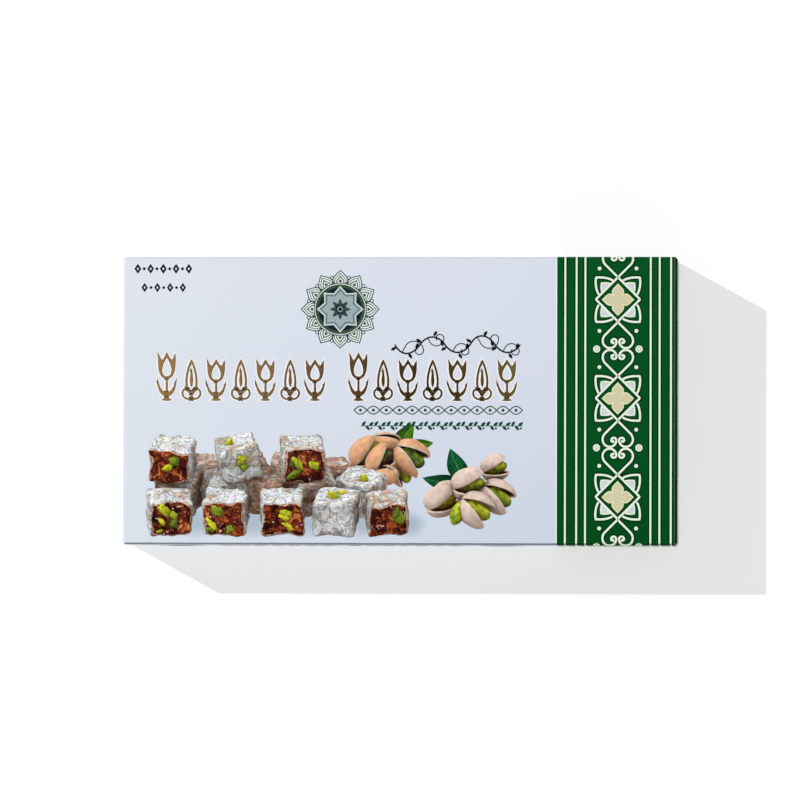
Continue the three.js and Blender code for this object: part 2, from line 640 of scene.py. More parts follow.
def ribbon(path: Path, width: float) -> Path:
    """Outline of an open line of even width.

    Args:
        path: The middle of the line.
        width: Its width.

    Returns:
        The outline.
    """
    return offset_points(path, width / 2, False) + offset_points(path, -width / 2, False)[::-1]


# ---------------------------------------------------------------- print on the carton


class Panel(Enum):
    """A panel that print lies on, and how the print's own axes lie on it."""

    FRONT = Matrix.Translation((0, 0, THICKNESS))
    NEAR_SIDE = Matrix.Translation((0, -HALF_WIDTH, THICKNESS / 2)) @ Matrix.Rotation(math.pi / 2, 4, "X")
    FAR_SIDE = (Matrix.Translation((0, HALF_WIDTH, THICKNESS / 2)) @ Matrix.Rotation(math.pi, 4, "Z")
                @ Matrix.Rotation(math.pi / 2, 4, "X"))
    RIGHT_END = (Matrix.Translation((HALF_LENGTH, 0, THICKNESS / 2)) @ Matrix.Rotation(math.pi / 2, 4, "Z")
                 @ Matrix.Rotation(math.pi / 2, 4, "X"))
    LEFT_END = (Matrix.Translation((-HALF_LENGTH, 0, THICKNESS / 2))
                @ Matrix.Rotation(-math.pi / 2, 4, "Z") @ Matrix.Rotation(math.pi / 2, 4, "X"))


class PrintPiece:
    """One piece of print in the making: its mesh, and the inks its faces take."""

    def __init__(self, name: str, book: InkBook) -> None:
        """Starts an empty piece.

        Args:
            name: Name of the finished piece.
            book: Where the inks' materials come from.
        """
        self.name = name
        self.book = book
        self.slots: list[Enum] = []
        self.mesh = bmesh.new()

    def slot(self, ink: Enum) -> int:
        """Looks up the number of an ink's material on the piece.

        Args:
            ink: The ink.

        Returns:
            Its number.
        """
        if ink not in self.slots:
            self.slots.append(ink)
        return self.slots.index(ink)

    def save(self) -> None:
        """Turns the mesh into a finished piece that belongs to the carton."""
        data = bpy.data.meshes.new(self.name)
        self.mesh.to_mesh(data)
        self.mesh.free()
        for ink in self.slots:
            data.materials.append(self.book.material(ink))
        piece = bpy.data.objects.new(self.name, data)
        bpy.context.collection.objects.link(piece)
        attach(piece, "root")
        log.info("%s: %d faces", self.name, len(data.polygons))


class PrintSheet(PrintPiece):
    """Flat islands of ink that are laid out on a plane and then put on the carton."""

    def island(self, loops: Sequence[Path], ink: Ink, level: int = 0) -> None:
        """Fills an outline, less any outlines inside it.

        Args:
            loops: The outer outline, then its holes.
            ink: The ink of the island.
            level: How many films of ink lie under it.
        """
        edges = []
        for loop in loops:
            verts = [self.mesh.verts.new((*point, level * INK)) for point in loop]
            edges += [self.mesh.edges.new(pair) for pair in zip(verts, verts[1:] + verts[:1])]
        filled = bmesh.ops.triangle_fill(self.mesh, use_beauty=True, edges=edges, normal=(0, 0, 1))
        for face in filled["geom"]:
            if isinstance(face, BMFace):
                face.material_index = self.slot(ink)
                if face.normal.z < 0:
                    face.normal_flip()

    def line(self, path: Path, width: float, ink: Ink, level: int = 0, closed: bool = False,
             trap: float = 0.0) -> None:
        """Draws a line, over a wider dark one where it has a trap.

        Args:
            path: The middle of the line.
            width: Its width.
            ink: Its ink.
            level: How many films of ink lie under it.
            closed: Whether it joins up with itself.
            trap: How far a dark line shows on both sides.
        """
        left, right = (offset_points(path, side * width / 2, closed) for side in (1, -1))
        verts = [self.mesh.verts.new((*point, level * INK)) for point in left]
        edges = [self.mesh.edges.new(verts[i - 1:i + 1] if i else (verts[-1], verts[0]))
                 for i in range(0 if closed else 1, len(verts))]
        # One side of the line is drawn out into the other
        across = {tuple(vert.co): point for vert, point in zip(verts, right)}
        for item in bmesh.ops.extrude_edge_only(self.mesh, edges=edges)["geom"]:
            if isinstance(item, BMVert):
                item.co.xy = across[tuple(item.co)]
            elif isinstance(item, BMFace):
                item.material_index = self.slot(ink)
        if trap:
            self.line(path, width + 2 * trap, Ink.TRAP, 0, closed)

    def cut(self, height: float, keep_below: bool | None = None) -> None:
        """Cuts all islands along a line across the sheet.

        Args:
            height: Where the line crosses the sheet's Y axis.
            keep_below: Which side is kept, or None for both.
        """
        whole = [*self.mesh.verts, *self.mesh.edges, *self.mesh.faces]
        bmesh.ops.bisect_plane(self.mesh, geom=whole, dist=1e-7, plane_co=(0, height, 0),
                               plane_no=(0, 1, 0), clear_outer=keep_below is True,
                               clear_inner=keep_below is False)

    def thicken(self) -> None:
        """Gives every island the thickness of a film of ink, closed all round."""
        wires = [edge for edge in self.mesh.edges if not edge.link_faces]
        bmesh.ops.delete(self.mesh, geom=wires, context="EDGES")
        loose = [vert for vert in self.mesh.verts if not vert.link_faces]
        bmesh.ops.delete(self.mesh, geom=loose, context="VERTS")
        raised = bmesh.ops.extrude_face_region(self.mesh, geom=self.mesh.faces[:])
        lifted = [v for v in raised["geom"] if isinstance(v, BMVert)]
        bmesh.ops.translate(self.mesh, verts=lifted, vec=(0, 0, INK))

    def finish(self, lay: Matrix | Callable[[Vector], Vector]) -> None:
        """Puts the sheet on the carton as one piece.

        Args:
            lay: The panel's matrix, or a function that takes each point to its place.
        """
        self.thicken()
        for vert in self.mesh.verts:
            vert.co = lay @ vert.co if isinstance(lay, Matrix) else lay(vert.co)
        self.save()


def wrap_girth(point: Vector) -> Vector:
    """Takes a flat point to the carton, round the folds from the front panel to the long sides.

    Args:
        point: X along the carton, Y along the girth from the middle of the front, Z above the board.

    Returns:
        The point on the carton.
    """
    flat = HALF_WIDTH - FOLD_RADIUS
    run, lift = abs(point.y), point.z
    way = math.copysign(1.0, point.y)
    if run <= flat:
        return Vector((point.x, point.y, THICKNESS + lift))
    if run <= flat + FOLD_ARC:
        angle = (run - flat) / FOLD_RADIUS
        reach = FOLD_RADIUS + lift
        return Vector((point.x, way * (flat + reach * math.sin(angle)),
                       THICKNESS - FOLD_RADIUS + reach * math.cos(angle)))
    return Vector((point.x, way * (HALF_WIDTH + lift), THICKNESS - FOLD_RADIUS - (run - flat - FOLD_ARC)))


@dataclass
class BandOrnament:
    """The column of diamonds and hearts down the green band."""

    book: InkBook
    period: float = 31.45 * MM
    first: float = 0.84 * MM
    line_width: float = 0.7 * MM
    trap: float = 0.44 * MM
    diamond: float = 7.15 * MM
    corner: float = 0.35 * MM
    petal_tip: float = 5.15 * MM
    petal_notch: float = 1.6 * MM
    petal_edge: float = 0.28 * MM
    leaf_tip: float = 6.92 * MM
    ball: float = 0.46 * MM
    small_bead: float = 0.63 * MM
    small_bead_place: Point = (5.88 * MM, 9.95 * MM)
    large_bead: float = 1.16 * MM
    large_bead_place: float = 6.75 * MM
    bead_trap: float = 0.25 * MM
    bead_ring: float = 0.56 * MM
    bead_line: float = 0.17 * MM
    end_margin: float = 2.6 * MM
    foot_margin: float = 0.4 * MM
    heart_legs: tuple[Point, ...] = (
        (5.67, 0), (2.78, 45), (2.3, 90), (2.08, 90), (0.8, 180), (0.42, 110))
    # Start, two handles and end of half the leaf, its inner field and its core, as shares of its tip
    leaf_curves: tuple[tuple[tuple[Point, ...], int], ...] = (
        (((0.23, 0.88), (0.45, 1.02), (0.75, 1.04), (1.0, 1.02)), 8),
        (((0.3, 0.76), (0.5, 0.84), (0.74, 0.8), (0.79, 0.79)), 7),
        (((0.4, 0.71), (0.52, 0.76), (0.7, 0.74), (0.745, 0.745)), 7))

    def quatrefoil(self, inset: float) -> Path:
        """Outline of the four-petalled flower.

        Args:
            inset: How far inside the full flower it lies.

        Returns:
            The outline.
        """
        tip, notch = self.petal_tip, self.petal_notch
        wide = (0.38 * tip, 0.5 * tip)
        half = curve((0, tip), (0.16 * tip, 0.82 * tip), (0.36 * tip, 0.68 * tip), wide, 7)
        half += curve(wide, (0.385 * tip, 0.42 * tip), (0.35 * tip, 0.36 * tip), (notch, notch), 5)[1:]
        petal = [(-x, y) for x, y in half[::-1]] + half[1:]
        outline: Path = []
        for quarter in range(4):
            outline += moved(petal, turn=-90 * quarter)[:-1]
        return offset_points(outline, -inset, True) if inset else outline

    def leaves(self) -> list[Path]:
        """Works out the corner leaf, its inner field and its core.

        Returns:
            The three outlines, each mirrored about the diagonal.
        """
        outlines = []
        for points, steps in self.leaf_curves:
            half = curve(*((x * self.leaf_tip, y * self.leaf_tip) for x, y in points), steps)
            outlines.append(half + [(y, x) for x, y in half[-2::-1]])
        return outlines

    def add_bead(self, sheet: PrintSheet, centre: Point, radius: float, count: int) -> None:
        """Draws a bead over its dark trap.

        Args:
            sheet: The sheet to draw on.
            centre: The bead's middle.
            radius: Its radius.
            count: Number of points round it.
        """
        sheet.island([ring(centre, radius + self.bead_trap, count)], Ink.TRAP)
        sheet.island([ring(centre, radius, count)], Ink.CREAM, 1)

    def add_unit(self, sheet: PrintSheet, centre: Point) -> None:
        """Draws one diamond with its flower, leaves, hearts and beads.

        Args:
            sheet: The sheet to draw on.
            centre: The middle of the diamond.
        """
        width, trap = self.line_width, self.trap
        sheet.island([moved(self.quatrefoil(0.0), centre)], Ink.BUTTER, 1)
        sheet.island([moved(self.quatrefoil(self.petal_edge), centre)], Ink.SAND, 2)
        leg = (self.diamond * math.sqrt(2) - 1.4 * self.corner, 0)
        side = walk((0, self.diamond), -45, (leg, (self.corner, -90), leg))
        for flip in (False, True):
            sheet.line(moved(side, centre, flip_x=flip), width, Ink.CREAM, 3, trap=trap)
        heart = walk((0, self.diamond), 45, tuple((size * MM, turn) for size, turn in self.heart_legs))
        leaf, inner, core = self.leaves()
        for flip_x in (False, True):
            for flip_y in (False, True):
                flips = {"flip_x": flip_x, "flip_y": flip_y}
                sheet.line(moved(heart, centre, **flips), width, Ink.CREAM, 2, trap=trap)
                ball, bead = moved([heart[-1], self.small_bead_place], centre, **flips)
                sheet.island([ring(ball, self.ball, 14)], Ink.CREAM, 3)
                sheet.line(moved(leaf, centre, **flips), width, Ink.CREAM, 1, trap=trap)
                sheet.island([moved(inner, centre, **flips)], Ink.CREAM, 1)
                sheet.island([moved(core, centre, **flips)], Ink.PEARL, 2)
                self.add_bead(sheet, bead, self.small_bead, 16)
        for flip_x in (False, True):
            bead = moved([(self.large_bead_place, -self.period / 2)], centre, flip_x=flip_x)[0]
            self.add_bead(sheet, bead, self.large_bead, 24)
            sheet.line(ring(bead, self.bead_ring, 16), self.bead_line, Ink.CLAY, 2, closed=True)

    def build(self) -> None:
        """Lays the column round the carton, and a shorter one along the right end panel."""
        column = PrintSheet("band_ornament", self.book)
        for index in range(-2, 4):
            self.add_unit(column, (BAND_MIDDLE, self.first + index * self.period))
        flat = HALF_WIDTH - FOLD_RADIUS
        side_height = THICKNESS - 2 * FOLD_RADIUS
        column.cut(flat + FOLD_ARC + side_height - self.foot_margin, keep_below=True)
        column.cut(-flat - FOLD_ARC - side_height, keep_below=False)
        # Cuts across each fold let the print bend round it
        for way in (-1, 1):
            for step in range(FOLD_STEPS + 1):
                column.cut(way * (flat + FOLD_ARC * step / FOLD_STEPS))
        column.finish(wrap_girth)
        end = PrintSheet("end_ornament", self.book)
        for index in (-1, 0, 1):
            self.add_unit(end, (0, index * self.period))
        end.cut(HALF_WIDTH - self.end_margin, keep_below=True)
        end.cut(self.end_margin - HALF_WIDTH, keep_below=False)
        end.finish(Panel.RIGHT_END.value @ Matrix.Rotation(math.pi / 2, 4, "Z"))


@dataclass
class FoilFrieze:
    """Two runs of tulips and cypresses in gold foil, the first of each run taller."""

    unit_width: float = 7.9 * MM
    height: float = 12.9 * MM
    tall: float = 15.1 * MM
    count: int = 7
    fill: float = 0.88
    # Width of the pale halo round each stroke and of the painted shadow edge, and how far that shadow is
    # shifted right and down
    glow: float = 0.46 * MM
    edge: float = 0.1 * MM
    raised: Point = (0.07 * MM, -0.03 * MM)

    def tulip(self, width: float, height: float) -> list[list[Path]]:
        """Outlines of a tulip with its stem, two leaves and a foot.

        Args:
            width: Width over the leaves.
            height: Height from foot to tip.

        Returns:
            Islands, each an outline with its holes.
        """
        w, h = width / 2, height
        shoulder, dip = (0.78 * w, 0.98 * h), (0.38 * w, 0.82 * h)
        bulb = curve((0, 0.45 * h), (0.72 * w, 0.46 * h), (0.82 * w, 0.66 * h), shoulder, 10)
        bulb += curve(shoulder, (0.66 * w, 0.9 * h), (0.5 * w, 0.83 * h), dip, 6)[1:]
        bulb += curve(dip, (0.3 * w, 0.88 * h), (0.1 * w, 0.95 * h), (0, h), 5)[1:]
        eye = curve((0, 0.49 * h), (0.62 * w, 0.51 * h), (0.6 * w, 0.7 * h), (0, 0.91 * h), 10)
        stem = [(-0.08 * w, 0.04 * h), (0.08 * w, 0.04 * h), (0.06 * w, 0.47 * h), (-0.06 * w, 0.47 * h)]
        tip = (0.9 * w, 0.47 * h)
        leaf = curve((0.04 * w, 0.08 * h), (0.62 * w, 0.1 * h), (0.84 * w, 0.24 * h), tip, 9)
        leaf += curve(tip, (0.7 * w, 0.27 * h), (0.44 * w, 0.17 * h), (0.04 * w, 0.16 * h), 9)[1:]
        foot = [(-0.46 * w, 0), (0, -0.012 * h), (0.46 * w, 0), (0.14 * w, 0.045 * h),
                (-0.14 * w, 0.045 * h)]
        other_leaf = [(-x, y) for x, y in leaf[::-1]]
        return [[mirrored(bulb), mirrored(eye)], [stem], [leaf], [other_leaf], [foot]]

    def cypress(self, width: float, height: float) -> list[list[Path]]:
        """Outlines of a slender cypress, with a core and two scrolls at its foot.

        Args:
            width: Width over the scrolls.
            height: Height from foot to tip.

        Returns:
            Islands, each an outline with its holes.
        """
        w, h = width / 2, height
        crown, hole, core = (
            mirrored(curve((0, (0.14 + lift) * h), (0.9 * size * w, (0.2 + lift) * h),
                           (0.5 * size * w, (0.8 - lift) * h), (0, (1 - 1.2 * lift) * h), 14))
            for size, lift in ((1.0, 0.0), (0.74, 0.06), (0.22, 0.2)))
        scroll = walk((0, 0.03 * h), 0, ((0.3 * w, 0), (0.52 * w, 110), (0.34 * w, 130)))
        ribs = [[ribbon(path, 0.12 * w)] for path in (scroll, [(-x, y) for x, y in scroll])]
        stem = [(-0.09 * w, 0), (0.09 * w, 0), (0.06 * w, 0.17 * h), (-0.06 * w, 0.17 * h)]
        return [[crown, hole], [core], *ribs, [stem]]

    def draw(self, sheet: PrintSheet, corner: Point, size: float = 1.0, runs: int = 2,
             gap: float = 1.0 * MM) -> None:
        """Draws the runs side by side.

        Args:
            sheet: The sheet to draw on.
            corner: The lower left corner of the first run.
            size: Scale.
            runs: Number of runs.
            gap: Space between runs.
        """
        for run in range(runs):
            left = corner[0] + run * (self.count * self.unit_width + gap) * size
            for index in range(self.count):
                height = self.tall if index == 0 else self.height
                make = self.cypress if index % 2 else self.tulip
                middle = (left + (index + 0.5) * self.unit_width * size, corner[1])
                # A painted shadow: a dark edge, deeper to the right of each stroke, makes the foil look
                # raised
                shifted = (middle[0] + self.raised[0] * size, middle[1] + self.raised[1] * size)
                films = ((self.glow, middle, Ink.GLOW), (self.edge, shifted, Ink.PAINTED_SHADOW),
                         (0, middle, Ink.GOLD))
                for loops in make(self.unit_width * self.fill, height):
                    for level, (spread, centre, ink) in enumerate(films):
                        outlines = [moved(loop, centre, size=size) for loop in loops]
                        sheet.island(outlines, ink, level)
                        for outline in outlines if spread else ():
                            sheet.line(outline, 2 * spread * size, ink, level, closed=True)


@dataclass
class Rosette:
    """A round emblem: pointed petals, a green ring and an eight-pointed star."""

    radius: float = 12.4 * MM
    petals: int = 12
    leaves: int = 8
    hairline: float = 0.23 * MM
    # The petals' foot; and the tip, half width, line and ink of each outline in a petal, as shares
    petal_foot: float = 0.66
    petal_lines: tuple[tuple[float, float, float, Ink], ...] = (
        (1.0, 0.74, 1.3, Ink.SLATE), (0.93, 0.56, 1.0, Ink.SLATE), (0.85, 0.36, 1.4, Ink.MOSS))
    # Radius and ink of each disc inside the petals, and size and ink of each star on them
    discs: tuple[tuple[float, Ink], ...] = (
        (0.685, Ink.SLATE), (0.66, Ink.MIST), (0.64, Ink.MOSS), (0.56, Ink.DEEP))
    stars: tuple[tuple[float, Ink], ...] = ((1.0, Ink.MIST), (0.95, Ink.SAGE))

    def petal(self, inner: float, outer: float, spread: float) -> Path:
        """The outline of one pointed petal, pointing up.

        Args:
            inner: Radius at its foot.
            outer: Radius at its tip.
            spread: Half its width.

        Returns:
            An open path from one foot to the other.
        """
        half = curve((spread, inner), (1.25 * spread, 0.5 * (inner + outer)), (0.3 * spread, 0.93 * outer),
                     (0, outer), 8)
        return half + [(-x, y) for x, y in half[-2::-1]]

    def star(self, outer: float, inner: float, points: int = 8) -> Path:
        """A star's outline."""
        return [(r * math.sin(i * math.pi / points), r * math.cos(i * math.pi / points))
                for i, r in ((k, inner if k % 2 else outer) for k in range(2 * points))]

    def draw(self, sheet: PrintSheet, centre: Point, size: float = 1.0) -> None:
        """Draws the emblem.

        Args:
            sheet: The sheet to draw on.
            centre: Its middle.
            size: Scale.
        """
        r = self.radius
        wide = r * math.sin(math.pi / self.petals)
        foot = self.petal_foot * r
        ground = self.petal(foot, 1.015 * r, 0.76 * wide)
        bud = self.petal(0.7 * r, 0.79 * r, 0.16 * wide)
        for index in range(self.petals):
            turn = 360 / self.petals * index
            sheet.island([moved(ground, centre, turn, size)], Ink.MIST)
            for tip, spread, width, ink in self.petal_lines:
                outline = moved(self.petal(foot, tip * r, spread * wide), centre, turn, size)
                sheet.line(outline, self.hairline * width * size, ink, 1)
            sheet.island([moved(bud, centre, turn, size)], Ink.SLATE, 1)
            between = moved([(0, 0.84 * r)], centre, turn + 180 / self.petals, size)[0]
            sheet.line(ring(between, 0.042 * r * size, 10), self.hairline * size, Ink.SLATE, 1,
                       closed=True)
        for level, (radius, ink) in enumerate(self.discs, 1):
            sheet.island([ring(centre, radius * r * size, 48)], ink, level)
        for level, (scale, ink) in enumerate(self.stars, 5):
            star = self.star(0.6 * r * scale, 0.44 * r * scale)
            sheet.island([moved(star, centre, size=size)], ink, level)
        inner_star = moved(self.star(0.5 * r, 0.37 * r), centre, size=size)
        sheet.line(inner_star, self.hairline * size, Ink.SLATE, 7, closed=True)
        leaf = self.petal(0.07 * r, 0.27 * r, 0.055 * r)
        for index in range(self.leaves):
            ink = Ink.SLATE if index % 2 else Ink.MOSS
            sheet.island([moved(leaf, centre, 360 / self.leaves * index, size)], ink, 7)
        sheet.island([ring(centre, 0.05 * r * size, 12)], Ink.DEEP, 8)


@dataclass
class Vine:
    """A thin vine of scrolls and leaves in black ink."""

    length: float = 40.0 * MM
    scrolls: int = 5
    thin: float = 0.3 * MM
    thick: float = 0.52 * MM
    # Each leaf's foot, turn and length in one scroll, in pitches and degrees
    leaves: tuple[tuple[Point, float, float], ...] = (
        ((0.06, -0.1), -150, 0.25), ((0.55, -0.34), -58, 0.25), ((0.86, -0.2), 78, 0.28))

    def leaf(self, length: float) -> Path:
        """A pointed leaf along +X."""
        half = curve((0, 0), (0.35 * length, 0.36 * length), (0.7 * length, 0.28 * length), (length, 0), 8)
        return half + [(x, -y) for x, y in half[-2:0:-1]]

    def draw(self, sheet: PrintSheet, start: Point, size: float = 1.0) -> None:
        """Draws the vine from its left end.

        Args:
            sheet: The sheet to draw on.
            start: The middle of its left end.
            size: Scale.
        """
        pitch = self.length / self.scrolls
        for index in range(self.scrolls):
            rise = 1.0 + 0.28 * (index % 3 == 0)
            foot = (start[0] + index * pitch * size, start[1])
            stem = curve((0, 0), (0.3 * pitch, -0.42 * pitch * rise), (0.72 * pitch, -0.4 * pitch),
                         (pitch, 0), 16)
            curl = walk((0.3 * pitch, -0.29 * pitch), 62,
                        ((0.2 * pitch * rise, 0), (0.3 * pitch * rise, -150), (0.16 * pitch, -170),
                         (0.08 * pitch, -90)))
            lines = ((stem, self.thick), (curl, self.thin))
            for level, (path, width) in enumerate(lines):
                placed = moved(path, foot, size=size, flip_y=index % 2 == 1)
                sheet.line(placed, width * size, Ink.BLACK, level)
            for spot, turn, long in self.leaves:
                blade = moved(self.leaf(long * pitch), (spot[0] * pitch, spot[1] * pitch), turn)
                sheet.island([moved(blade, foot, size=size, flip_y=index % 2 == 1)], Ink.BLACK, 1)


class Border(Enum):
    """Kinds of fine border row."""

    BRAID = "two waves that cross, with a bead in each eye"
    GARLAND = "leaves on both sides of a thin stem"
    LOZENGES = "lozenges between beads"


@dataclass
class BorderRow:
    """One fine row of border ornament."""

    kind: Border
    ink: Ink
    start: Point
    length: float
    height: float
    line: float = 0.32 * MM
    steps: int = 16

    def draw(self, sheet: PrintSheet) -> None:
        """Draws the row.

        Args:
            sheet: The sheet to draw on.
        """
        pitch = 1.36 * self.height
        count = max(1, round(self.length / pitch))
        pitch = self.length / count
        x0, y0 = self.start
        if self.kind is Border.BRAID:
            for level, way in enumerate((-1, 1)):
                swing = way * 0.42 * self.height
                wave = [(x0 + pitch * i / self.steps, y0 + swing * math.sin(math.pi * i / self.steps))
                        for i in range(self.steps * count + 1)]
                sheet.line(wave, self.line, self.ink, level)
        elif self.kind is Border.GARLAND:
            sheet.line([(x0, y0), (x0 + self.length, y0)], 0.7 * self.line, self.ink, 0)
        for index in range(count):
            middle = (x0 + (index + 0.5) * pitch, y0)
            if self.kind is Border.BRAID:
                sheet.island([ring(middle, 0.16 * self.height, 10)], self.ink, 1)
            elif self.kind is Border.GARLAND:
                for shift, turn in ((-0.4, 52), (-0.1, -46), (0.16, 38)):
                    blade = Vine().leaf(0.66 * self.height)
                    sheet.island([moved(blade, (middle[0] + shift * pitch, y0), turn)], self.ink, 1)
                sheet.island([ring((middle[0] + 0.36 * pitch, y0 - 0.26 * self.height),
                                   0.12 * self.height, 10)], self.ink, 1)
            else:
                h = 0.5 * self.height
                lozenge = [(0, -h), (0.68 * h, 0), (0, h), (-0.68 * h, 0)]
                hole = moved(lozenge, size=0.34)
                sheet.island([moved(lozenge, middle), moved(hole, middle)], self.ink, 1)
                if index < count - 1:
                    sheet.island([ring((middle[0] + pitch / 2, y0), 0.3 * h, 10)], self.ink, 1)


@dataclass
class PanelPrint:
    """The small print on the front, the long sides and the left end."""

    book: InkBook
    front_gap: float = 6.0 * MM
    side_size: float = 0.68
    side_gap: float = 5.0 * MM
    side_emblem: float = 0.62
    side_emblem_gap: float = 12.0 * MM
    end_size: float = 0.8
    end_emblem: float = 0.86
    end_gap: float = 14.5 * MM

    def build(self) -> None:
        """Lays each piece of print on its panel."""
        self.build_front()
        self.build_sides()
        self.build_left_end()

    def build_front(self) -> None:
        """The foil frieze, the emblem, the vine and the fine rows of the front panel."""
        foil = PrintSheet("foil_frieze", self.book)
        FoilFrieze().draw(foil, (-78.5 * MM, 0.2 * MM), gap=self.front_gap)
        foil.finish(Panel.FRONT.value)
        emblem = PrintSheet("emblem", self.book)
        Rosette().draw(emblem, (-19.06 * MM, 29.2 * MM))
        emblem.finish(Panel.FRONT.value)
        vine = PrintSheet("vine", self.book)
        Vine().draw(vine, (-1.6 * MM, 17.9 * MM))
        vine.finish(Panel.FRONT.value)
        rows = PrintSheet("fine_borders", self.book)
        for row in (
            BorderRow(Border.BRAID, Ink.PINE, (-14.6 * MM, -3.0 * MM), 53.8 * MM, 3.0 * MM),
            BorderRow(Border.GARLAND, Ink.PINE, (-12.4 * MM, -8.0 * MM), 51.6 * MM, 2.9 * MM),
            BorderRow(Border.LOZENGES, Ink.BLACK, (-85.9 * MM, 42.1 * MM), 20.4 * MM, 3.2 * MM),
            BorderRow(Border.LOZENGES, Ink.BLACK, (-83.7 * MM, 36.1 * MM), 16.3 * MM, 3.0 * MM),
        ):
            row.draw(rows)
        rows.finish(Panel.FRONT.value)

    def build_sides(self) -> None:
        """A smaller frieze over a fine row on both long sides."""
        for panel, way in ((Panel.NEAR_SIDE, 1), (Panel.FAR_SIDE, -1)):
            side = PrintSheet(f"{panel.name.lower()}_print", self.book)
            middle = way * (BAND_EDGE - HALF_LENGTH) / 2
            frieze = FoilFrieze()
            length = (2 * frieze.count * frieze.unit_width + self.side_gap) * self.side_size
            left = middle - length / 2
            frieze.draw(side, (left, -2.2 * MM), self.side_size, gap=self.side_gap)
            BorderRow(Border.BRAID, Ink.PINE, (left, -6.6 * MM), length, 2.4 * MM).draw(side)
            for end in (-1, 1):
                centre = (middle + end * (length / 2 + self.side_emblem_gap), 0.0)
                Rosette().draw(side, centre, self.side_emblem)
            side.finish(panel.value)

    def build_left_end(self) -> None:
        """The emblem between two short runs of the frieze on the left end."""
        end = PrintSheet("left_end_print", self.book)
        Rosette().draw(end, (0.0, 0.0), self.end_emblem)
        frieze = FoilFrieze(count=3)
        reach = frieze.count * frieze.unit_width * self.end_size
        for left in (-self.end_gap - reach, self.end_gap):
            frieze.draw(end, (left, -3.6 * MM), self.end_size, runs=1)
            BorderRow(Border.LOZENGES, Ink.PINE, (left, -7.6 * MM), reach, 2.2 * MM).draw(end)
        end.finish(Panel.LEFT_END.value)


# ---------------------------------------------------------------- printed pictures


@dataclass(frozen=True)
class PictureInk:
    """Four-colour print of one kind of thing, whose shading is part of the print."""

    name: str
    tones: tuple[tuple[float, str], ...]
    grain: float = 0.9 * MM
    contrast: float = 0.16

    def pattern(self, tree: Tree, tone: Socket, spot: Socket) -> Socket:
        """The unshaded colour.

        Args:
            tree: The material's tree.
            tone: The piece's tone, from 0 to 1.
            spot: Where each point lay on the solid before it was pressed flat.

        Returns:
            The colour's socket.
        """
        ramp = add_node(tree, "ValToRGB", {"Fac": tone})
        set_stops(ramp.color_ramp, [(at, linear(code)) for at, code in self.tones])
        grain = add_node(tree, "TexNoise", {"Vector": spot, "Scale": 1 / self.grain, "Detail": 4.0})
        level = add_node(tree, "MapRange",
                         {"Value": grain.outputs["Fac"], "To Min": 1 - self.contrast,
                          "To Max": 1 + self.contrast, **NOISE_SPAN})
        return add_node(tree, "VectorMath",
                        {0: ramp.outputs["Color"], "Scale": level.outputs[0]}, operation="SCALE").outputs[0]

    def material(self) -> Material:
        """Builds the material.

        Returns:
            The material.
        """
        material, tree, place = start_material(self.name)
        tone, shading, spot = (add_node(tree, "Attribute", attribute_name=name)
                               for name in ("tone", "shading", "spot"))
        colour = self.pattern(tree, tone.outputs["Fac"], spot.outputs["Vector"])
        # Shade is printed a little warmer than light
        light = add_node(tree, "VectorMath",
                         {0: shading.outputs["Fac"], 1: (0.96, 1.0, 1.02), 2: (0.04, 0.0, -0.02)},
                         operation="MULTIPLY_ADD")
        shaded = add_node(tree, "VectorMath", {0: colour, 1: light.outputs[0]},
                          operation="MULTIPLY")
        finish_print(tree, place, shaded.outputs[0])
        return material


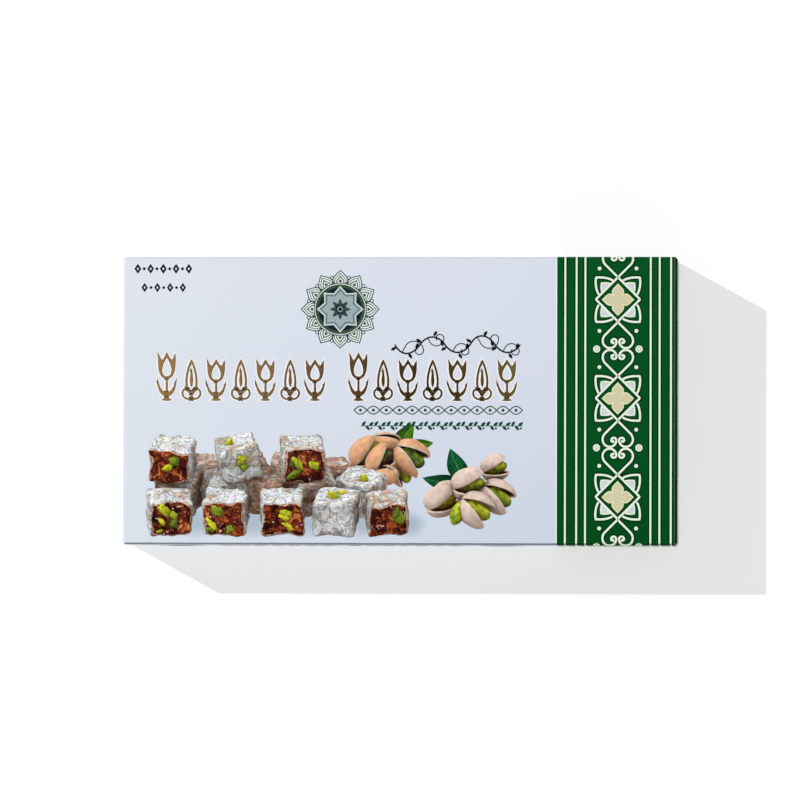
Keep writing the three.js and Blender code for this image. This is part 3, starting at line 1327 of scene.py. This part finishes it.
@dataclass(frozen=True)
class LokumInk(PictureInk):
    """Print of turkish delight: crinkled sugar below a tone of 0.5, and red-brown jelly above it."""

    jelly: tuple[tuple[float, str], ...] = (
        (0.0, "260b0b"), (0.32, "471816"), (0.6, "64241c"), (0.76, "7c3020"), (0.88, "c4602c"),
        (1.0, "e6a064"))
    # Brightness across the crust's creases, by their place in the noise
    creases: tuple[Point, ...] = (
        (0.0, 0.7), (0.34, 0.8), (0.41, 1.27), (0.46, 1.0), (0.5, 0.42), (0.54, 0.82), (0.58, 1.34),
        (0.63, 0.95), (0.67, 0.48), (0.71, 1.1))
    seam: str = "d9742e"
    seam_place: float = 0.56
    seam_reach: float = 0.022
    seam_share: float = 0.5
    glint: str = "f3dfe0"
    glint_span: Point = (0.7, 0.73)
    torn_span: Point = (0.5, 0.54)
    ragged: float = 0.22
    facet: float = 3.8 * MM
    facet_share: float = 0.55
    jelly_span: Point = (0.45, 1.1)
    # Size, detail and distortion of the rags of the torn edge, the tints under the sugar, the
    # creases of its crust, the swirls of the jelly and its wet spots
    noises: tuple[tuple[float, float, float], ...] = (
        (1.5 * MM, 3.0, 0.0), (2.8 * MM, 2.0, 0.0), (3.4 * MM, 2.0, 0.7), (2.6 * MM, 2.0, 1.0),
        (1.7 * MM, 1.0, 1.5))

    def pattern(self, tree: Tree, tone: Socket, spot: Socket) -> Socket:
        """The unshaded colour.

        Args:
            tree: The material's tree.
            tone: The piece's tone, from 0 to 1.
            spot: Where each point lay on the solid before it was pressed flat.

        Returns:
            The colour's socket.
        """
        rags, tints, bends, swirl, shine = (
            add_node(tree, "TexNoise",
                     {"Vector": spot, "Scale": 1 / size, "Detail": detail, "Distortion": distortion})
            for size, detail, distortion in self.noises)
        ragged = add_node(tree, "Math", {0: rags.outputs["Fac"], 1: self.ragged, 2: tone},
                          operation="MULTIPLY_ADD")
        tone = add_node(tree, "Math", {0: ragged.outputs[0], 1: self.ragged / 2},
                        operation="SUBTRACT").outputs[0]
        sugar = super().pattern(tree, tone, spot)
        # Under the sugar the sweet shows through in tints
        hues = add_node(tree, "VectorMath",
                        {0: tints.outputs["Color"], 1: (0.36, 0.3, 0.6), 2: (0.8, 0.82, 0.64)},
                        operation="MULTIPLY_ADD")
        # The sugar crust is crumpled into creases, each with a dark and a bright side
        crease = add_node(tree, "ValToRGB", {"Fac": bends.outputs["Fac"]})
        set_stops(crease.color_ramp, [(at, (level, level, level, 1.0)) for at, level in self.creases])
        crust = sugar
        for factor in (hues.outputs[0], crease.outputs["Color"]):
            crust = add_node(tree, "VectorMath", {0: crust, 1: factor},
                             operation="MULTIPLY").outputs[0]
        # The jelly tears into facets, which take light each in its own way
        facets = add_node(tree, "TexVoronoi", {"Vector": spot, "Scale": 1 / self.facet})
        mixed = add_node(tree, "Math",
                         {0: facets.outputs["Color"], 1: self.facet_share, 2: swirl.outputs["Fac"]},
                         operation="MULTIPLY_ADD")
        depth, glints, torn = (
            add_node(tree, "MapRange", {"Value": value, "From Min": low, "From Max": high})
            for value, (low, high) in ((mixed.outputs[0], self.jelly_span),
                                       (shine.outputs["Fac"], self.glint_span), (tone, self.torn_span)))
        ramp = add_node(tree, "ValToRGB", {"Fac": depth.outputs[0]})
        set_stops(ramp.color_ramp, [(at, linear(code)) for at, code in self.jelly])
        # Thin folds of it glow orange, and wet spots glint
        fold = add_node(tree, "Math",
                        {0: swirl.outputs["Fac"], 1: self.seam_place, 2: self.seam_reach},
                        operation="COMPARE")
        seams = add_node(tree, "Math", {0: fold.outputs[0], 1: self.seam_share},
                         operation="MULTIPLY")
        jelly = ramp.outputs["Color"]
        for share, code in ((seams, self.seam), (glints, self.glint)):
            jelly = add_node(tree, "Mix",
                             {"Factor": share.outputs[0], 6: jelly, 7: linear(code)},
                             data_type="RGBA").outputs[2]
        return add_node(tree, "Mix", {"Factor": torn.outputs[0], 6: crust, 7: jelly},
                        data_type="RGBA").outputs[2]


class Print(Enum):
    """The kinds of thing in the printed pictures."""

    LOKUM = LokumInk("lokum_print", (
        (0.0, "d8dbe0"), (0.12, "ccccca"), (0.24, "c1afa3"), (0.33, "b69785"), (0.41, "a3806c"),
        (0.43, "ecc9b4"), (0.5, "dba88c")), grain=2.4 * MM, contrast=0.2)
    KERNEL = PictureInk("pistachio_kernel_print", (
        (0.0, "e0dc34"), (0.25, "b5be30"), (0.5, "869c2e"), (0.8, "52702a"), (1.0, "5c3038")),
        grain=0.8 * MM, contrast=0.4)
    SHELL = PictureInk("pistachio_shell_print", (
        (0.0, "dea67a"), (0.3, "dbc4b6"), (0.42, "f6e4cd"), (0.6, "f2d6bd"), (0.75, "8a5546"),
        (1.0, "4c2224")), grain=2.0 * MM, contrast=0.2)
    LEAF = PictureInk("bright_leaf_print", (
        (0.0, "a9cf6a"), (0.06, "5f9c22"), (0.5, "4f8e1c"), (1.0, "3c7a18")), contrast=0.1)
    DARK_LEAF = PictureInk("dark_leaf_print", (
        (0.0, "6fb07a"), (0.06, "1d7440"), (0.5, "15683a"), (1.0, "0e5530")), contrast=0.1)


class Picture(PrintPiece):
    """Solids posed and lit as a still life in millimetres, then pressed flat into print.

    The picture's X runs right, Y up and Z towards the eye.
    """

    tilt: float = math.radians(24.0)
    press: float = 0.0022
    foot: float = 0.4 * INK
    # Rays to the open sky and to the key light, with how far each looks for something in its way
    rays: int = 14
    ray_turn: float = 2.39996
    ray_start: float = 0.12
    sky_reach: float = 9.0
    key_way: Vector = Vector((-0.5, 0.66, 0.56)).normalized()
    key_reach: float = 40.0
    # How strongly each light prints, how the sky's falls off downwards and in hollows, and what
    # share of the key's is left in a shadow
    base_light: float = 0.04
    sky_light: float = 0.72
    sky_slope: float = 0.28
    hollow_power: float = 1.4
    key_light: float = 0.54
    shadow_share: float = 0.3
    # What faces away from the eye isn't lit
    away: float = -0.15
    away_light: float = 0.6

    def __init__(self, name: str, book: InkBook, seed: int) -> None:
        """Starts an empty picture.

        Args:
            name: Name of the finished piece.
            book: Where the inks' materials come from.
            seed: Start of its random numbers.
        """
        super().__init__(name, book)
        self.random = random.Random(seed)
        # Without a seed of its own, noise_vector starts from the clock
        noise.seed_set(seed)
        layers = self.mesh.verts.layers
        self.spot = layers.float_vector.new("spot")
        self.tone = layers.float.new("tone")
        self.shading = layers.float.new("shading")

    def box(self, size: Vector, steps: int) -> list[BMVert]:
        """Adds a box with subdivided faces.

        Args:
            size: Its size.
            steps: Number of cuts across each face.

        Returns:
            Its vertices.
        """
        made = bmesh.ops.create_cube(self.mesh, size=1.0)["verts"]
        edges = list({edge for vert in made for edge in vert.link_edges})
        split = bmesh.ops.subdivide_edges(self.mesh, edges=edges, cuts=steps, use_grid_fill=True)
        # New vertices have no fixed place in the mesh, so they are found along their edges
        verts = [next(part for part in split["geom_inner"] if isinstance(part, BMVert))]
        reached = set(verts)
        for vert in verts:
            for edge in vert.link_edges:
                other = edge.other_vert(vert)
                if other not in reached:
                    reached.add(other)
                    verts.append(other)
        for vert in verts:
            vert.co *= size
        return verts

    def ball(self, size: Vector, around: int, rings: int) -> list[BMVert]:
        """Adds an ellipsoid with poles on Z.

        Args:
            size: Half its size.
            around: Number of segments round Z.
            rings: Number of segments from pole to pole.

        Returns:
            Its vertices.
        """
        verts = bmesh.ops.create_uvsphere(self.mesh, u_segments=around, v_segments=rings,
                                          radius=1.0)["verts"]
        for vert in verts:
            vert.co *= size
        return verts

    def put(self, verts: Sequence[BMVert], pose: Matrix, kind: Print,
            tone: float | Callable[[Vector], float]) -> None:
        """Poses a solid and gives it its print.

        Args:
            verts: The solid's vertices, in its own space.
            pose: From its own space to the picture's.
            kind: What it is.
            tone: Its tone, or a function of the place on it.
        """
        slot = self.slot(kind)
        shift = Vector([self.random.uniform(0, 200) for _ in range(3)])
        for vert in verts:
            vert[self.tone] = tone(vert.co) if callable(tone) else tone
            vert[self.spot] = (vert.co + shift) * MM
            vert.co = pose @ vert.co
        for face in {face for vert in verts for face in vert.link_faces}:
            face.material_index = slot

    def stand(self, place: Vector, turn: float, lean: float = 0.0) -> Matrix:
        """The pose of a solid that stands on the picture's ground.

        Args:
            place: Right, away from the eye, and up from the ground.
            turn: Turn about the upright, in degrees.
            lean: Turn about the line of sight, in degrees.

        Returns:
            From the solid's own space to the picture's.
        """
        look = Matrix.Rotation(-math.pi / 2 + self.tilt, 4, "X")
        turned = Matrix.Rotation(math.radians(lean), 4, "Y") @ Matrix.Rotation(math.radians(turn), 4, "Z")
        return look @ Matrix.Translation(place) @ turned

    def light(self) -> None:
        """Works out how light falls on each point that faces the eye."""
        self.mesh.normal_update()
        tree = BVHTree.FromBMesh(self.mesh)
        up = Vector((0, math.cos(self.tilt), math.sin(self.tilt)))
        ways = []
        for index in range(self.rays):
            rise, spin = (index + 0.5) / self.rays, index * self.ray_turn
            flat = math.sqrt(1 - rise * rise)
            ways.append(Vector((flat * math.cos(spin), flat * math.sin(spin), rise)))
        for vert in self.mesh.verts:
            normal = vert.normal
            if normal.z < self.away:
                vert[self.shading] = self.away_light
                continue
            start = vert.co + normal * self.ray_start
            turn = normal.to_track_quat("Z", "Y")
            weight = hidden = 0.0
            for way in ways:
                weight += way.z
                if tree.ray_cast(start, turn @ way, self.sky_reach)[0]:
                    hidden += way.z
            sky = self.sky_light * (1 - self.sky_slope + self.sky_slope * normal.dot(up))
            key = self.key_light * max(0.0, normal.dot(self.key_way))
            if key and tree.ray_cast(start, self.key_way, self.key_reach)[0]:
                key *= self.shadow_share
            vert[self.shading] = self.base_light + sky * (1 - hidden / weight) ** self.hollow_power + key

    def finish(self, corner: Point) -> None:
        """Presses the picture flat onto the front panel as one piece.

        Args:
            corner: Where the picture's origin lies on the panel.
        """
        self.light()
        deepest = min(vert.co.z for vert in self.mesh.verts)
        for vert in self.mesh.verts:
            lift = self.foot + self.press * (vert.co.z - deepest) * MM
            vert.co = Vector((corner[0] + vert.co.x * MM, corner[1] + vert.co.y * MM, THICKNESS + lift))
        self.save()


class Face(Enum):
    """Which face of a sweet is cut open."""

    NONE = 0
    FRONT = 1


@dataclass(frozen=True)
class Sweet:
    """One cube of turkish delight in the picture, with sizes in millimetres."""

    place: tuple[float, float, float]
    turn: float
    lean: float = 0.0
    size: tuple[float, float, float] = (13.4, 12.6, 12.0)
    cut: Face = Face.NONE
    tan: float = 0.1
    chips: int = 3


@dataclass
class SweetsPicture:
    """Cubes of turkish delight in three rows, some with their cut face in front."""

    book: InkBook
    corner: Point = (0.0, -41.0 * MM)
    steps: int = 24
    rounding: float = 1.5
    # Width and height of each kind of bump in the crumpled sugar
    bumps: tuple[Point, ...] = ((6.5, 0.85), (2.6, 0.42), (1.3, 0.24))
    # Chips of pistachio: their share of a face and of the tops, how deep they sit, their half
    # sizes, their tones, and the width and strength of their bumps and blotches
    chip_spread: float = 0.68
    chip_top_share: float = 0.5
    chip_top_depth: float = 0.1
    chip_front_depth: float = 0.35
    chip_sizes: tuple[Point, ...] = ((1.5, 3.0), (0.8, 1.3), (1.1, 1.9))
    chip_tones: tuple[float, ...] = (0.0, 0.2, 0.35, 0.5, 0.7)
    chip_bumps: Point = (1.1, 0.5)
    chip_blotches: Point = (1.3, 0.3)
    sweets: tuple[Sweet, ...] = (
        Sweet((-73.6, 0, 0), 5, cut=Face.FRONT, chips=5),
        Sweet((-55.4, 0, 0), -6, cut=Face.FRONT, chips=4, tan=0.04),
        Sweet((-37.4, 0, 0), 3, cut=Face.FRONT, chips=3, tan=0.06),
        Sweet((-20.2, 0, 0), -7, tan=0.05, chips=2),
        Sweet((-3.9, 0, 0), 4, cut=Face.FRONT, tan=0.18, chips=2, size=(13.0, 12.0, 11.4)),
        Sweet((-70.6, 15.5, 0), -14, tan=0.2, chips=1),
        Sweet((-55.6, 15, 0), 10, tan=0.08, chips=2),
        Sweet((-42.2, 16, 0), -18, tan=0.34, chips=0),
        Sweet((-27.6, 15.5, 0), 16, tan=0.26, chips=1),
        Sweet((-12.0, 15, 0), -32, tan=0.08, chips=2),
        Sweet((-63.0, 27, 0), -8, tan=0.3, chips=0),
        Sweet((-49.0, 28, 0), 14, tan=0.32, chips=0),
        Sweet((-34.5, 28, 0), -6, tan=0.3, chips=0),
        Sweet((-21.0, 27, 0), 20, tan=0.34, chips=0, size=(11.5, 12, 11)),
        Sweet((-72.4, 14.0, 12.0), -12, cut=Face.FRONT, tan=0.03, chips=2),
        Sweet((-51.6, 15.0, 12.0), 12, lean=-9, tan=0.12, chips=4, size=(13.0, 12.6, 12.0)),
        Sweet((-31.0, 15.0, 12.0), 7, cut=Face.FRONT, tan=0.14, chips=4),
    )

    def build(self) -> None:
        """Poses the cubes and presses them flat."""
        picture = Picture("printed_sweets", self.book, 11)
        for sweet in self.sweets:
            self.add_sweet(picture, sweet)
        picture.finish(self.corner)

    def add_sweet(self, picture: Picture, sweet: Sweet) -> None:
        """Adds one cube with its chips of pistachio.

        Args:
            picture: The picture to add to.
            sweet: The cube.
        """
        size = Vector(sweet.size)
        half = size / 2
        verts = picture.box(size, self.steps)
        shift = Vector([picture.random.uniform(0, 90) for _ in range(3)])
        tone_of = {vert: self.tear(vert.co, half, sweet, shift) for vert in verts}
        for vert in verts:
            near = Vector([max(self.rounding - reach, min(reach - self.rounding, value))
                           for value, reach in zip(vert.co, half)])
            vert.co = near + (vert.co - near).normalized() * self.rounding
            vert.co += sum((noise.noise_vector((vert.co + shift) / width) * height
                            for width, height in self.bumps), Vector())
        tones = {tuple(vert.co): tone_of[vert] for vert in verts}
        place = Vector(sweet.place) + Vector((0, 0, half.z))
        pose = picture.stand(place, sweet.turn, sweet.lean)
        picture.put(verts, pose, Print.LOKUM, lambda co: tones[tuple(co)])
        for _ in range(sweet.chips):
            self.add_chip(picture, sweet, pose, shift)

    def add_chip(self, picture: Picture, sweet: Sweet, pose: Matrix, shift: Vector) -> None:
        """Adds a chip of pistachio on the front or the top of a cube.

        Args:
            picture: The picture to add to.
            sweet: The cube.
            pose: From the cube's own space to the picture's.
            shift: Where the cube lies in the noise.
        """
        half = Vector(sweet.size) / 2
        x, z = (picture.random.uniform(-self.chip_spread, self.chip_spread) * reach
                for reach in (half.x, half.z))
        if sweet.cut is Face.NONE and picture.random.random() < self.chip_top_share:
            spot = Vector((x, z * 0.8, half.z - self.chip_top_depth))
        else:
            spot = Vector((x, self.chip_front_depth - half.y, z * 0.9 - 0.6))
        verts = picture.ball(Vector([picture.random.uniform(*span) for span in self.chip_sizes]), 10, 7)
        turn = Matrix.Rotation(picture.random.uniform(0, math.pi), 4, "Y")
        width, strength = self.chip_bumps
        for vert in verts:
            vert.co *= 1 + strength * noise.noise((vert.co + shift) / width)
        base = picture.random.choice(self.chip_tones)
        width, strength = self.chip_blotches
        picture.put(verts, pose @ Matrix.Translation(spot) @ turn, Print.KERNEL,
                    lambda co: base + strength * noise.noise((co + shift) / width))

    def tear(self, point: Vector, half: Vector, sweet: Sweet, shift: Vector) -> float:
        """The tone at a point of a cube: its sugar, or jelly inside the torn edge of a cut face.

        Args:
            point: The point, on the plain box.
            half: Half the box's size.
            sweet: The cube.
            shift: Where the cube lies in the noise.

        Returns:
            The tone.
        """
        patch = noise.noise((point + shift) / 3.6)
        sugar = max(0.0, min(0.38, sweet.tan + 0.3 * patch + 0.1 * (point.x > half.x - 1e-4)))
        if sweet.cut is Face.NONE or point.y > -half.y + 1e-4:
            return sugar
        edge = min(half.x - abs(point.x), half.z - abs(point.z))
        return max(sugar, min(1.0, 0.36 + 0.3 * (edge + 1.8 * patch)))


@dataclass(frozen=True)
class Nut:
    """One pistachio in the picture, with sizes in millimetres."""

    middle: tuple[float, float, float]
    turn: float
    roll: float
    pitch: float = 0.0
    gap: float = 26.0
    length: float = 11.4
    kernel: float = 0.45


@dataclass(frozen=True)
class Leaf:
    """One leaf in the picture, with sizes in millimetres."""

    foot: tuple[float, float, float]
    turn: float
    length: float
    width: float
    roll: float = 0.0


@dataclass
class NutsPicture:
    """A heap of split pistachios with leaves behind it."""

    name: str
    book: InkBook
    nuts: tuple[Nut, ...]
    leaves: tuple[Leaf, ...]
    shell: float
    leaf_ink: Print
    seed: int
    bare: tuple[Nut, ...] = ()
    hollow_power: float = 2.7
    # Half sizes of a shell and a kernel for a nut of length 1
    shell_half: tuple[float, float, float] = (0.5, 0.335, 0.35)
    kernel_half: tuple[float, float, float] = (0.5, 0.27, 0.29)
    kernel_size: float = 0.78
    bare_size: float = 0.62
    # A shell's wall at the rim and further in, its depth inside, and how far it tapers
    rim: float = 0.9
    wall: float = 0.84
    depth: float = 0.8
    taper: float = 0.16
    rim_height: float = 0.2
    rim_edge: float = 0.01
    rim_tone: float = 0.52
    inner_tone: float = 1.0
    # Width and height of the bumps of a shell and a kernel, and of a kernel's blotches
    shell_bumps: Point = (4.0, 0.12)
    kernel_bumps: Point = (2.4, 0.28)
    kernel_blotches: Point = (1.6, 0.5)
    kernel_shift: float = 0.05
    leaf_steps: int = 17
    leaf_bend: float = 0.9
    leaf_fold: float = 0.25
    leaf_thickness: float = 0.12

    def build(self) -> None:
        """Poses the nuts and leaves and presses them flat."""
        picture = Picture(self.name, self.book, self.seed)
        picture.hollow_power = self.hollow_power
        for leaf in self.leaves:
            self.add_leaf(picture, leaf)
        for nut in self.nuts:
            self.add_nut(picture, nut)
        for nut in self.bare:
            self.add_kernel(picture, nut, self.pose(nut), self.bare_size)
        picture.finish((0.0, 0.0))

    def pose(self, nut: Nut) -> Matrix:
        """The pose of a nut, whose length lies on X and whose shells lie above and below.

        Args:
            nut: The nut.

        Returns:
            From the nut's own space to the picture's.
        """
        turn, pitch, roll = (Matrix.Rotation(math.radians(angle), 4, axis)
                             for angle, axis in ((nut.turn, "Z"), (nut.pitch, "Y"), (nut.roll, "X")))
        upright = Matrix.Rotation(-math.pi / 2, 4, "X")
        return Matrix.Translation(nut.middle) @ (turn @ pitch @ roll) @ upright

    def add_nut(self, picture: Picture, nut: Nut) -> None:
        """Adds a nut: a kernel between two half shells that gape at one end.

        Args:
            picture: The picture to add to.
            nut: The nut.
        """
        pose = self.pose(nut)
        half = Vector(self.shell_half) * nut.length
        for side in (-1, 1):
            verts = picture.ball(Vector((1, 1, 1)), 30, 20)
            tones = {}
            for vert in verts:
                x, y, z = vert.co
                inner = z > self.rim_edge
                rim = inner and z < self.rim_height
                if inner:
                    hollow = self.rim if rim else self.wall
                    vert.co = Vector((x * hollow, y * hollow, 0.0 if rim else -self.depth * z))
                vert.co *= half
                vert.co.yz *= 1 - self.taper * vert.co.x / half.x
                vert.co += noise.noise_vector(vert.co / self.shell_bumps[0]) * self.shell_bumps[1]
                tone = self.inner_tone if inner else self.shell
                tones[tuple(vert.co)] = self.rim_tone if rim or abs(z) < self.rim_edge else tone
            hinge = Matrix.Translation((-half.x, 0, 0))
            swing = hinge @ Matrix.Rotation(math.radians(nut.gap / 2), 4, "Y") @ hinge.inverted()
            mirror = Matrix.Diagonal((1, 1, 1 if side < 0 else -1, 1))
            picture.put(verts, pose @ mirror @ swing, Print.SHELL,
                        lambda co, tones=tones: tones[tuple(co)])
            if side > 0:
                faces = list({face for vert in verts for face in vert.link_faces})
                bmesh.ops.reverse_faces(picture.mesh, faces=faces)
        self.add_kernel(picture, nut, pose, self.kernel_size)

    def add_kernel(self, picture: Picture, nut: Nut, pose: Matrix, size: float) -> None:
        """Adds a kernel in its skin.

        Args:
            picture: The picture to add to.
            nut: The nut it belongs to.
            pose: From the nut's own space to the picture's.
            size: Its length as a share of the shell's.
        """
        half = Vector(self.kernel_half) * nut.length * size
        verts = picture.ball(half, 24, 16)
        for vert in verts:
            vert.co += noise.noise_vector(vert.co / self.kernel_bumps[0]) * self.kernel_bumps[1]
        width, strength = self.kernel_blotches
        picture.put(verts, pose @ Matrix.Translation((self.kernel_shift * nut.length, 0, 0)),
                    Print.KERNEL, lambda co: nut.kernel + strength * noise.noise(co / width))

    def add_leaf(self, picture: Picture, leaf: Leaf) -> None:
        """Adds a leaf, folded a little along its rib.

        Args:
            picture: The picture to add to.
            leaf: The leaf.
        """
        verts = picture.box(Vector((1.0, 2.0, 1.0)), self.leaf_steps)
        tones = {}
        for vert in verts:
            along, across = min(1.0, max(0.0, vert.co.x + 0.5)), vert.co.y
            spread = leaf.width / 2 * max(0.01, math.sin(math.pi * along ** 0.86)) ** 0.8
            spread *= 1 - 0.35 * along
            bend = self.leaf_bend * math.sin(1.9 * along)
            rise = self.leaf_fold * abs(across) * spread + self.leaf_thickness * vert.co.z
            vert.co = Vector((along * leaf.length, across * spread + bend, rise))
            tones[tuple(vert.co)] = abs(across) * 0.8 + (0.2 if across > 0.04 else 0.0)
        pose = (Matrix.Translation(leaf.foot) @ Matrix.Rotation(math.radians(leaf.turn), 4, "Z")
                @ Matrix.Rotation(math.radians(leaf.roll), 4, "X"))
        picture.put(verts, pose, self.leaf_ink, lambda co: tones[tuple(co)])


def build_pictures(book: InkBook) -> None:
    """Prints the sweets and the two heaps of nuts on the front panel."""
    SweetsPicture(book).build()
    NutsPicture(
        "printed_nuts_upper", book, seed=5, shell=0.02, leaf_ink=Print.LEAF,
        nuts=(Nut((-10.2, -17.2, 0), 34, 24, kernel=0.35, gap=38),
              Nut((-4.6, -14.2, -5), 6, -62, gap=18),
              Nut((-5.2, -19.4, 3), 50, 14, kernel=0.95, gap=30),
              Nut((3.6, -17.9, 2), -34, -20, kernel=0.7, gap=36),
              Nut((-4.4, -23.6, 6), 170, 58, pitch=30, length=8.4),
              Nut((1.0, -22.6, 0), -58, 12, length=9.0, gap=34)),
        leaves=(Leaf((-0.9, -16.2, -9), 54, 10.4, 7.0),
                Leaf((1.0, -15.6, -10), 8, 10.0, 5.8, roll=20)),
    ).build()
    NutsPicture(
        "printed_nuts_lower", book, seed=8, shell=0.3, leaf_ink=Print.DARK_LEAF,
        nuts=(Nut((13.6, -31.9, 0), 22, 34, gap=30, kernel=0.2),
              Nut((22.4, -26.8, 2), 10, 22, kernel=0.4, gap=36),
              Nut((24.6, -34.6, 5), -33, -18, kernel=0.25, gap=38),
              Nut((31.2, -30.4, 0), -32, -24, gap=34),
              Nut((30.4, -21.4, -4), 16, 20, length=9.0, gap=34),
              Nut((15.6, -28.4, -6), 10, 80, length=9)),
        leaves=(Leaf((20.8, -25.5, -9), 110, 11.2, 7.4, roll=-10),
                Leaf((20.2, -26.9, -10), 166, 13.0, 6.4)),
        bare=(Nut((18.4, -36.4, 6), 66, 0, length=13.0, kernel=0.4),),
    ).build()


@dataclass
class Studio:
    """The pale floor, the light and the camera."""

    floor_size: float = 6.0
    floor_code: str = "acacab"
    floor_glow: float = 0.598
    floor_roughness: float = 0.9
    floor_lift: float = 0.01 * MM
    cloud: float = 60 * MM
    cloud_shade: float = 0.995
    sun_way: tuple[float, float, float] = (28.8, -15.8, -30.0)
    sun_strength: float = 2.47
    sun_angle: float = 0.6
    fill: float = 0.59
    far_wall: tuple[float, float, float] = (0.89, -0.45, 0.0)
    wall_swing: float = 0.6
    ceiling: float = 0.12
    ceiling_edge: tuple[float, float] = (40.0, 18.0)
    camera_place: tuple[float, float, float] = (0.12331, -0.07358, 2.5)
    camera_turn: tuple[float, float, float] = (1.7174, 2.8511, 0.1493)
    lens: float = 349.215

    def build(self) -> None:
        """Sets up all of it."""
        self.build_floor()
        self.build_light()
        self.build_camera()

    def build_floor(self) -> None:
        """A white light table, faintly lit from below, so that shadows on it stay pale."""
        mesh = bmesh.new()
        # A hair above the carton's underside, so that the two don't share one plane
        bmesh.ops.create_grid(mesh, x_segments=1, y_segments=1, size=self.floor_size / 2,
                              matrix=Matrix.Translation((0, 0, self.floor_lift)))
        data = bpy.data.meshes.new("studio_floor")
        mesh.to_mesh(data)
        mesh.free()
        material, tree, place = start_material("opal_acrylic")
        colour = linear(self.floor_code)
        # Opal acrylic scatters its lamps into a faint cloudiness
        cloud = add_node(tree, "TexNoise",
                         {"Vector": place, "Scale": 1 / self.cloud, "Detail": 2.0})
        tone = add_node(tree, "Mix",
                        {"Factor": cloud.outputs["Fac"], 6: shade(colour, self.cloud_shade),
                         7: colour}, data_type="RGBA")
        surface = add_node(tree, "BsdfPrincipled",
                           {"Base Color": tone.outputs[2], "Roughness": self.floor_roughness,
                            "Emission Color": (1.0, 1.0, 1.0, 1.0),
                            "Emission Strength": self.floor_glow})
        add_node(tree, "OutputMaterial", {"Surface": surface.outputs[0]})
        data.materials.append(material)
        floor = bpy.data.objects.new("studio_floor", data)
        bpy.context.collection.objects.link(floor)

    def build_light(self) -> None:
        """A small hard key from the upper left and an even white fill."""
        sun = bpy.data.lights.new("key_sun", "SUN")
        sun.energy = self.sun_strength
        sun.angle = math.radians(self.sun_angle)
        key = bpy.data.objects.new("key_sun", sun)
        key.rotation_euler = Vector(self.sun_way).to_track_quat("-Z", "Y").to_euler()
        bpy.context.collection.objects.link(key)
        world = bpy.data.worlds.new("studio_fill")
        world.use_nodes = True
        tree = world.node_tree
        tree.nodes.clear()
        # White walls all round under a dark ceiling, which is what gloss and foil mirror upwards
        way = add_node(tree, "TexCoord").outputs["Generated"]
        rise = add_node(tree, "SeparateXYZ", {"Vector": way}).outputs["Z"]
        start, end = (math.cos(math.radians(angle)) for angle in self.ceiling_edge)
        height = add_node(tree, "MapRange",
                          {"Value": rise, "From Min": start, "From Max": end, "To Min": self.fill,
                           "To Max": self.fill * self.ceiling}, interpolation_type="SMOOTHSTEP")
        # The walls away from the key are the brighter ones, which fills its shade
        side = add_node(tree, "VectorMath", {0: way, 1: self.far_wall}, operation="DOT_PRODUCT")
        swing = add_node(tree, "Math", {0: side.outputs["Value"], 1: self.wall_swing, 2: 1.0},
                         operation="MULTIPLY_ADD")
        strength = add_node(tree, "Math", {0: height.outputs[0], 1: swing.outputs[0]},
                            operation="MULTIPLY")
        sky = add_node(tree, "Background",
                       {"Color": (1.0, 1.0, 1.0, 1.0), "Strength": strength.outputs[0]})
        add_node(tree, "OutputWorld", {"Surface": sky.outputs[0]})
        bpy.context.scene.world = world
        bpy.context.scene.view_settings.view_transform = "Standard"

    def build_camera(self) -> None:
        """The camera looks almost straight down, from beyond the carton's near right corner."""
        data = bpy.data.cameras.new("camera")
        data.lens = self.lens
        data.sensor_width = 36.0
        data.clip_start = 0.01
        camera = bpy.data.objects.new("camera", data)
        camera.location = self.camera_place
        camera.rotation_euler = Euler([math.radians(a) for a in self.camera_turn], "XYZ")
        bpy.context.collection.objects.link(camera)
        bpy.context.scene.camera = camera


def dress_carton() -> None:
    """Gives the carton's board its printed finish."""
    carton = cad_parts["carton"]
    carton.data.materials.clear()
    carton.data.materials.append(PrintedBoard().material())
    log.info("carton: board finish")


def main() -> None:
    """Builds everything in order."""
    logging.basicConfig(level=logging.INFO)
    book = InkBook()
    dress_carton()
    BandOrnament(book).build()
    PanelPrint(book).build()
    build_pictures(book)
    Studio().build()


if __name__ == "__main__":
    main()
